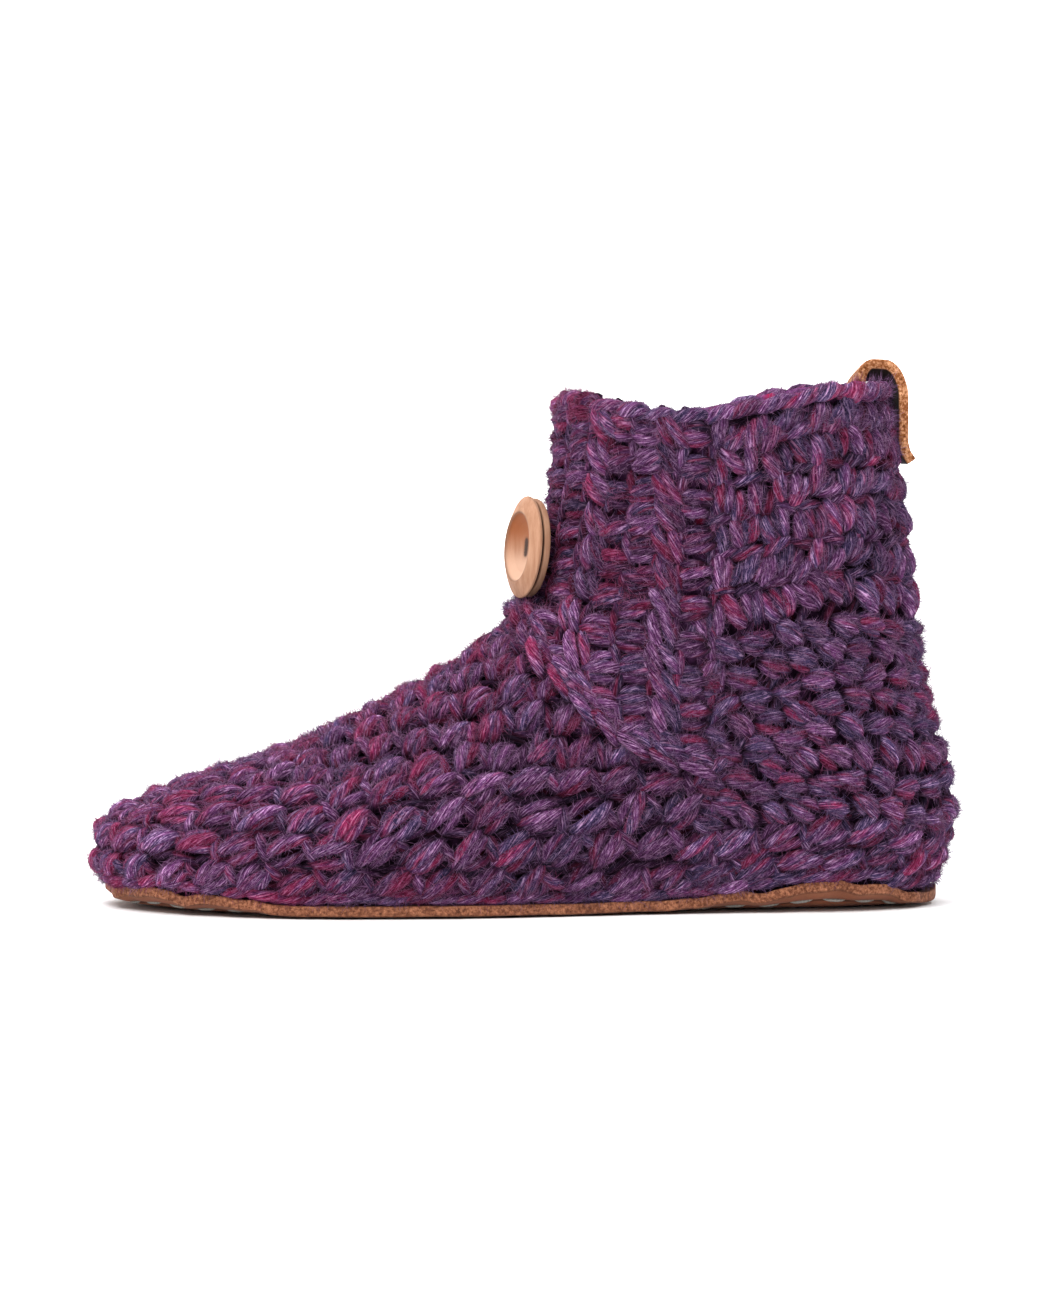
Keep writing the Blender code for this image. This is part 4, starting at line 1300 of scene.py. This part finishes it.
def loop_piece(strap):
    """The pull loop: a rounded strap section carried along its middle line.

    The section is a circle with its sines and cosines raised to a low power. High on the loop the far edge
    lies forward and droops, more with every millimetre across the strap.
    """
    path = np.array(LOOP)
    gone = lengths_along(path[None])[0]
    keyed = [(at, x, z) for at, (x, z) in zip(gone, LOOP)]
    x, z = smooth_columns(keyed, np.linspace(0.0, gone[-1], 70))
    centres = np.stack([x, np.zeros_like(x), z], axis=-1)[None]
    run = unit(np.gradient(centres, axis=1))
    out = np.cross(np.array([0.0, 1.0, 0.0]), run)
    round_section = circle(32)
    soft = np.sign(round_section) * np.abs(round_section) ** 0.3
    profile = soft * np.array([0.5 * STRAP_WIDTH, 0.5 * STRAP])
    points, faces, uv = carried(centres, out, profile, np.ones(centres.shape[:2]))
    high = smooth_step((points[..., 2] - LOOP_SKEW_FROM) / 16.0)
    arched = smooth_step((points[..., 2] - LOOP_DROOP_FROM) / 10.0)
    inward = points[..., 1] + 0.5 * STRAP_WIDTH
    points[..., 0] -= LOOP_SKEW * inward * high
    points[..., 2] -= LOOP_DROOP * inward * arched
    at_edge = np.abs(soft[:, 0]) > 0.93
    # Painted shade: the strap's inner face is darkened nearly to black. Along the inner corners of the cut
    # edges runs a paler line.
    inner = smooth_step((soft[:, 1] - 0.8) / 0.15) * ~at_edge
    pale = smooth_step((soft[:, 1] - 0.5) / 0.3) * at_edge
    dye_and_shading = np.stack([1.0 - inner, 1.0 + 0.35 * pale - 0.95 * inner, 0.0 * inner], axis=-1)
    return mesh_piece("leather_loop", points, faces, strap, uv, np.tile(dye_and_shading, (centres.shape[1], 1)))


CAMERA_TURN = math.radians(-4.0)
CAMERA_REACH = 1.5
CAMERA_HEIGHT = 0.150
CAMERA_AIM = Vector((-0.00195, 0.0, 0.0758))
IMAGE_HEIGHT_PX = 1300
FOCAL_PX = 5000
SENSOR = 36.0
FLOOR_HEIGHT = -0.0004
WHITE = (1.0, 1.0, 1.0)


def camera():
    """The photo's viewpoint: level with the collar, a little towards the toe, with a long lens."""
    made = bpy.data.cameras.new("camera")
    made.sensor_width = SENSOR
    made.lens = FOCAL_PX * SENSOR / IMAGE_HEIGHT_PX
    made.clip_start = 0.05
    eye = bpy.data.objects.new("camera", made)
    across, ahead = math.sin(CAMERA_TURN) * CAMERA_REACH, math.cos(CAMERA_TURN) * CAMERA_REACH
    eye.location = (across, -ahead, CAMERA_HEIGHT)
    eye.rotation_euler = (CAMERA_AIM - eye.location).to_track_quat("-Z", "Y").to_euler()
    bpy.context.scene.collection.objects.link(eye)
    bpy.context.scene.camera = eye


def area_light(name, place, target, size, power):
    """A square lamp at a place, turned to its target."""
    made = bpy.data.lights.new(name, "AREA")
    made.size = size
    made.energy = power
    lamp = bpy.data.objects.new(name, made)
    lamp.location = place
    lamp.rotation_euler = (Vector(target) - Vector(place)).to_track_quat("-Z", "Y").to_euler()
    bpy.context.scene.collection.objects.link(lamp)


def sheet(name, corners, material):
    """A flat sheet between four corners, in metres."""
    mesh = bpy.data.meshes.new(name)
    mesh.from_pydata(corners, [], [(0, 1, 2, 3)])
    mesh.materials.append(material)
    made = bpy.data.objects.new(name, mesh)
    bpy.context.scene.collection.objects.link(made)
    return made


def studio():
    """A white floor and backdrop under soft light from above and in front."""
    white = material("white_floor", 0.9, Base_Color=(0.98, 0.98, 0.98))[0]
    corners = ((-6, -6), (6, -6), (6, 6), (-6, 6))
    floor = sheet("floor", [(x, y, FLOOR_HEIGHT) for x, y in corners], white)
    world = bpy.data.worlds.new("studio")
    world.use_nodes = True
    sky = world.node_tree.nodes["Background"].inputs
    fill(sky["Color"], WHITE)
    fill(sky["Strength"], 0.5)
    bpy.context.scene.world = world
    glow = material("white_backdrop", 0.9, Emission_Strength=1.05, Emission_Color=WHITE)[0]
    backdrop = sheet("backdrop", [(-4, 3, -0.1), (4, 3, -0.1), (4, 3, 3), (-4, 3, 3)], glow)
    area_light("overhead", (0.0, 0.6, 2.4), (0.0, 0.6, 0.0), 4.0, 130.0)
    area_light("key", (-0.6, -0.9, 1.5), (0.0, 0.0, 0.06), 0.7, 20.0)
    bpy.context.scene.view_settings.view_transform = "Standard"


def main():
    """Builds every piece, wool first, lists each with a slot name, and hides the solid that it replaces, if
    any.
    """
    camera()
    studio()
    wool = heather_yarn("heather_yarn", 0.88)
    ground = wool_ground()
    pieces = [(wall_piece(ground), "wool", "upper"), (flap_piece(ground), "band_wool", "button_flap")]
    foot = strand_paths(foot_strands())
    shaft = strand_paths(joined([wall_strands(), border_strands()]))
    flap = strand_paths(flap_strands())
    rim = collar_paths()
    upper_wool = [np.concatenate(columns) for columns in zip(shaft, rim)]
    hair = hair_wool()
    foot_outer, foot_inner = sides_of(foot)
    upper_outer, upper_inner = sides_of(upper_wool)
    shaft_outer, shaft_inner = sides_of(shaft)
    for name, paths, slot, hairs in (
        ("foot_outer", foot_outer, "wool", 31000),
        ("foot_inner", foot_inner, "wool", 19000),
        ("shaft_outer", upper_outer, "wool", 27000),
        ("shaft_inner", upper_inner, "wool", 17000),
        ("flap", flap, "band_wool", 12000),
    ):
        short = fuzz(name + "_fuzz", paths, hairs, hair, reach=2.1, lay=0.3, thick=0.075, pale=0.7)
        flat = fuzz(name + "_fibres", paths, hairs // 3, hair, reach=2.4, lay=0.9, thick=0.06, pale=1.0)
        pieces += [(short, slot, None), (flat, slot, None)]
    for name, paths, slot in (
        ("foot_yarn_outer", foot_outer, "wool"),
        ("foot_yarn_inner", foot_inner, "wool"),
        ("shaft_yarn_outer", shaft_outer, "wool"),
        ("shaft_yarn_inner", shaft_inner, "wool"),
        ("flap_yarn", flap, "band_wool"),
        ("collar_yarn", rim, "wool"),
    ):
        pieces.append((yarn_piece(name, paths, wool), slot, None))
    for name, paths, hairs in (("stray_hairs", upper_wool, 140), ("stray_foot_hairs", foot, 110)):
        pieces.append((stray_hairs(name, paths, hairs, hair), "wool", None))
    tan = suede("tan_suede", (0.17, 0.056, 0.028), (0.52, 0.21, 0.11), (0.33, 0.112, 0.052))
    orange = suede("orange_suede", (0.26, 0.08, 0.023), (0.88, 0.46, 0.24), (0.60, 0.28, 0.11))
    grey = thread("grey_thread", (0.44, 0.42, 0.38))
    pieces += [
        (sole_piece(tan), "sole_leather", "outsole"),
        (sole_thread_piece(grey), "sole_leather", None),
        (insole_piece(felt()), "insole_felt", "insole"),
        (button_piece(plain_wood()), "button_wood", "button"),
        (loop_piece(orange), "loop_leather", "pull_loop"),
    ]
    for piece, slot, node in pieces:
        if node:
            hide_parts(node)


main()
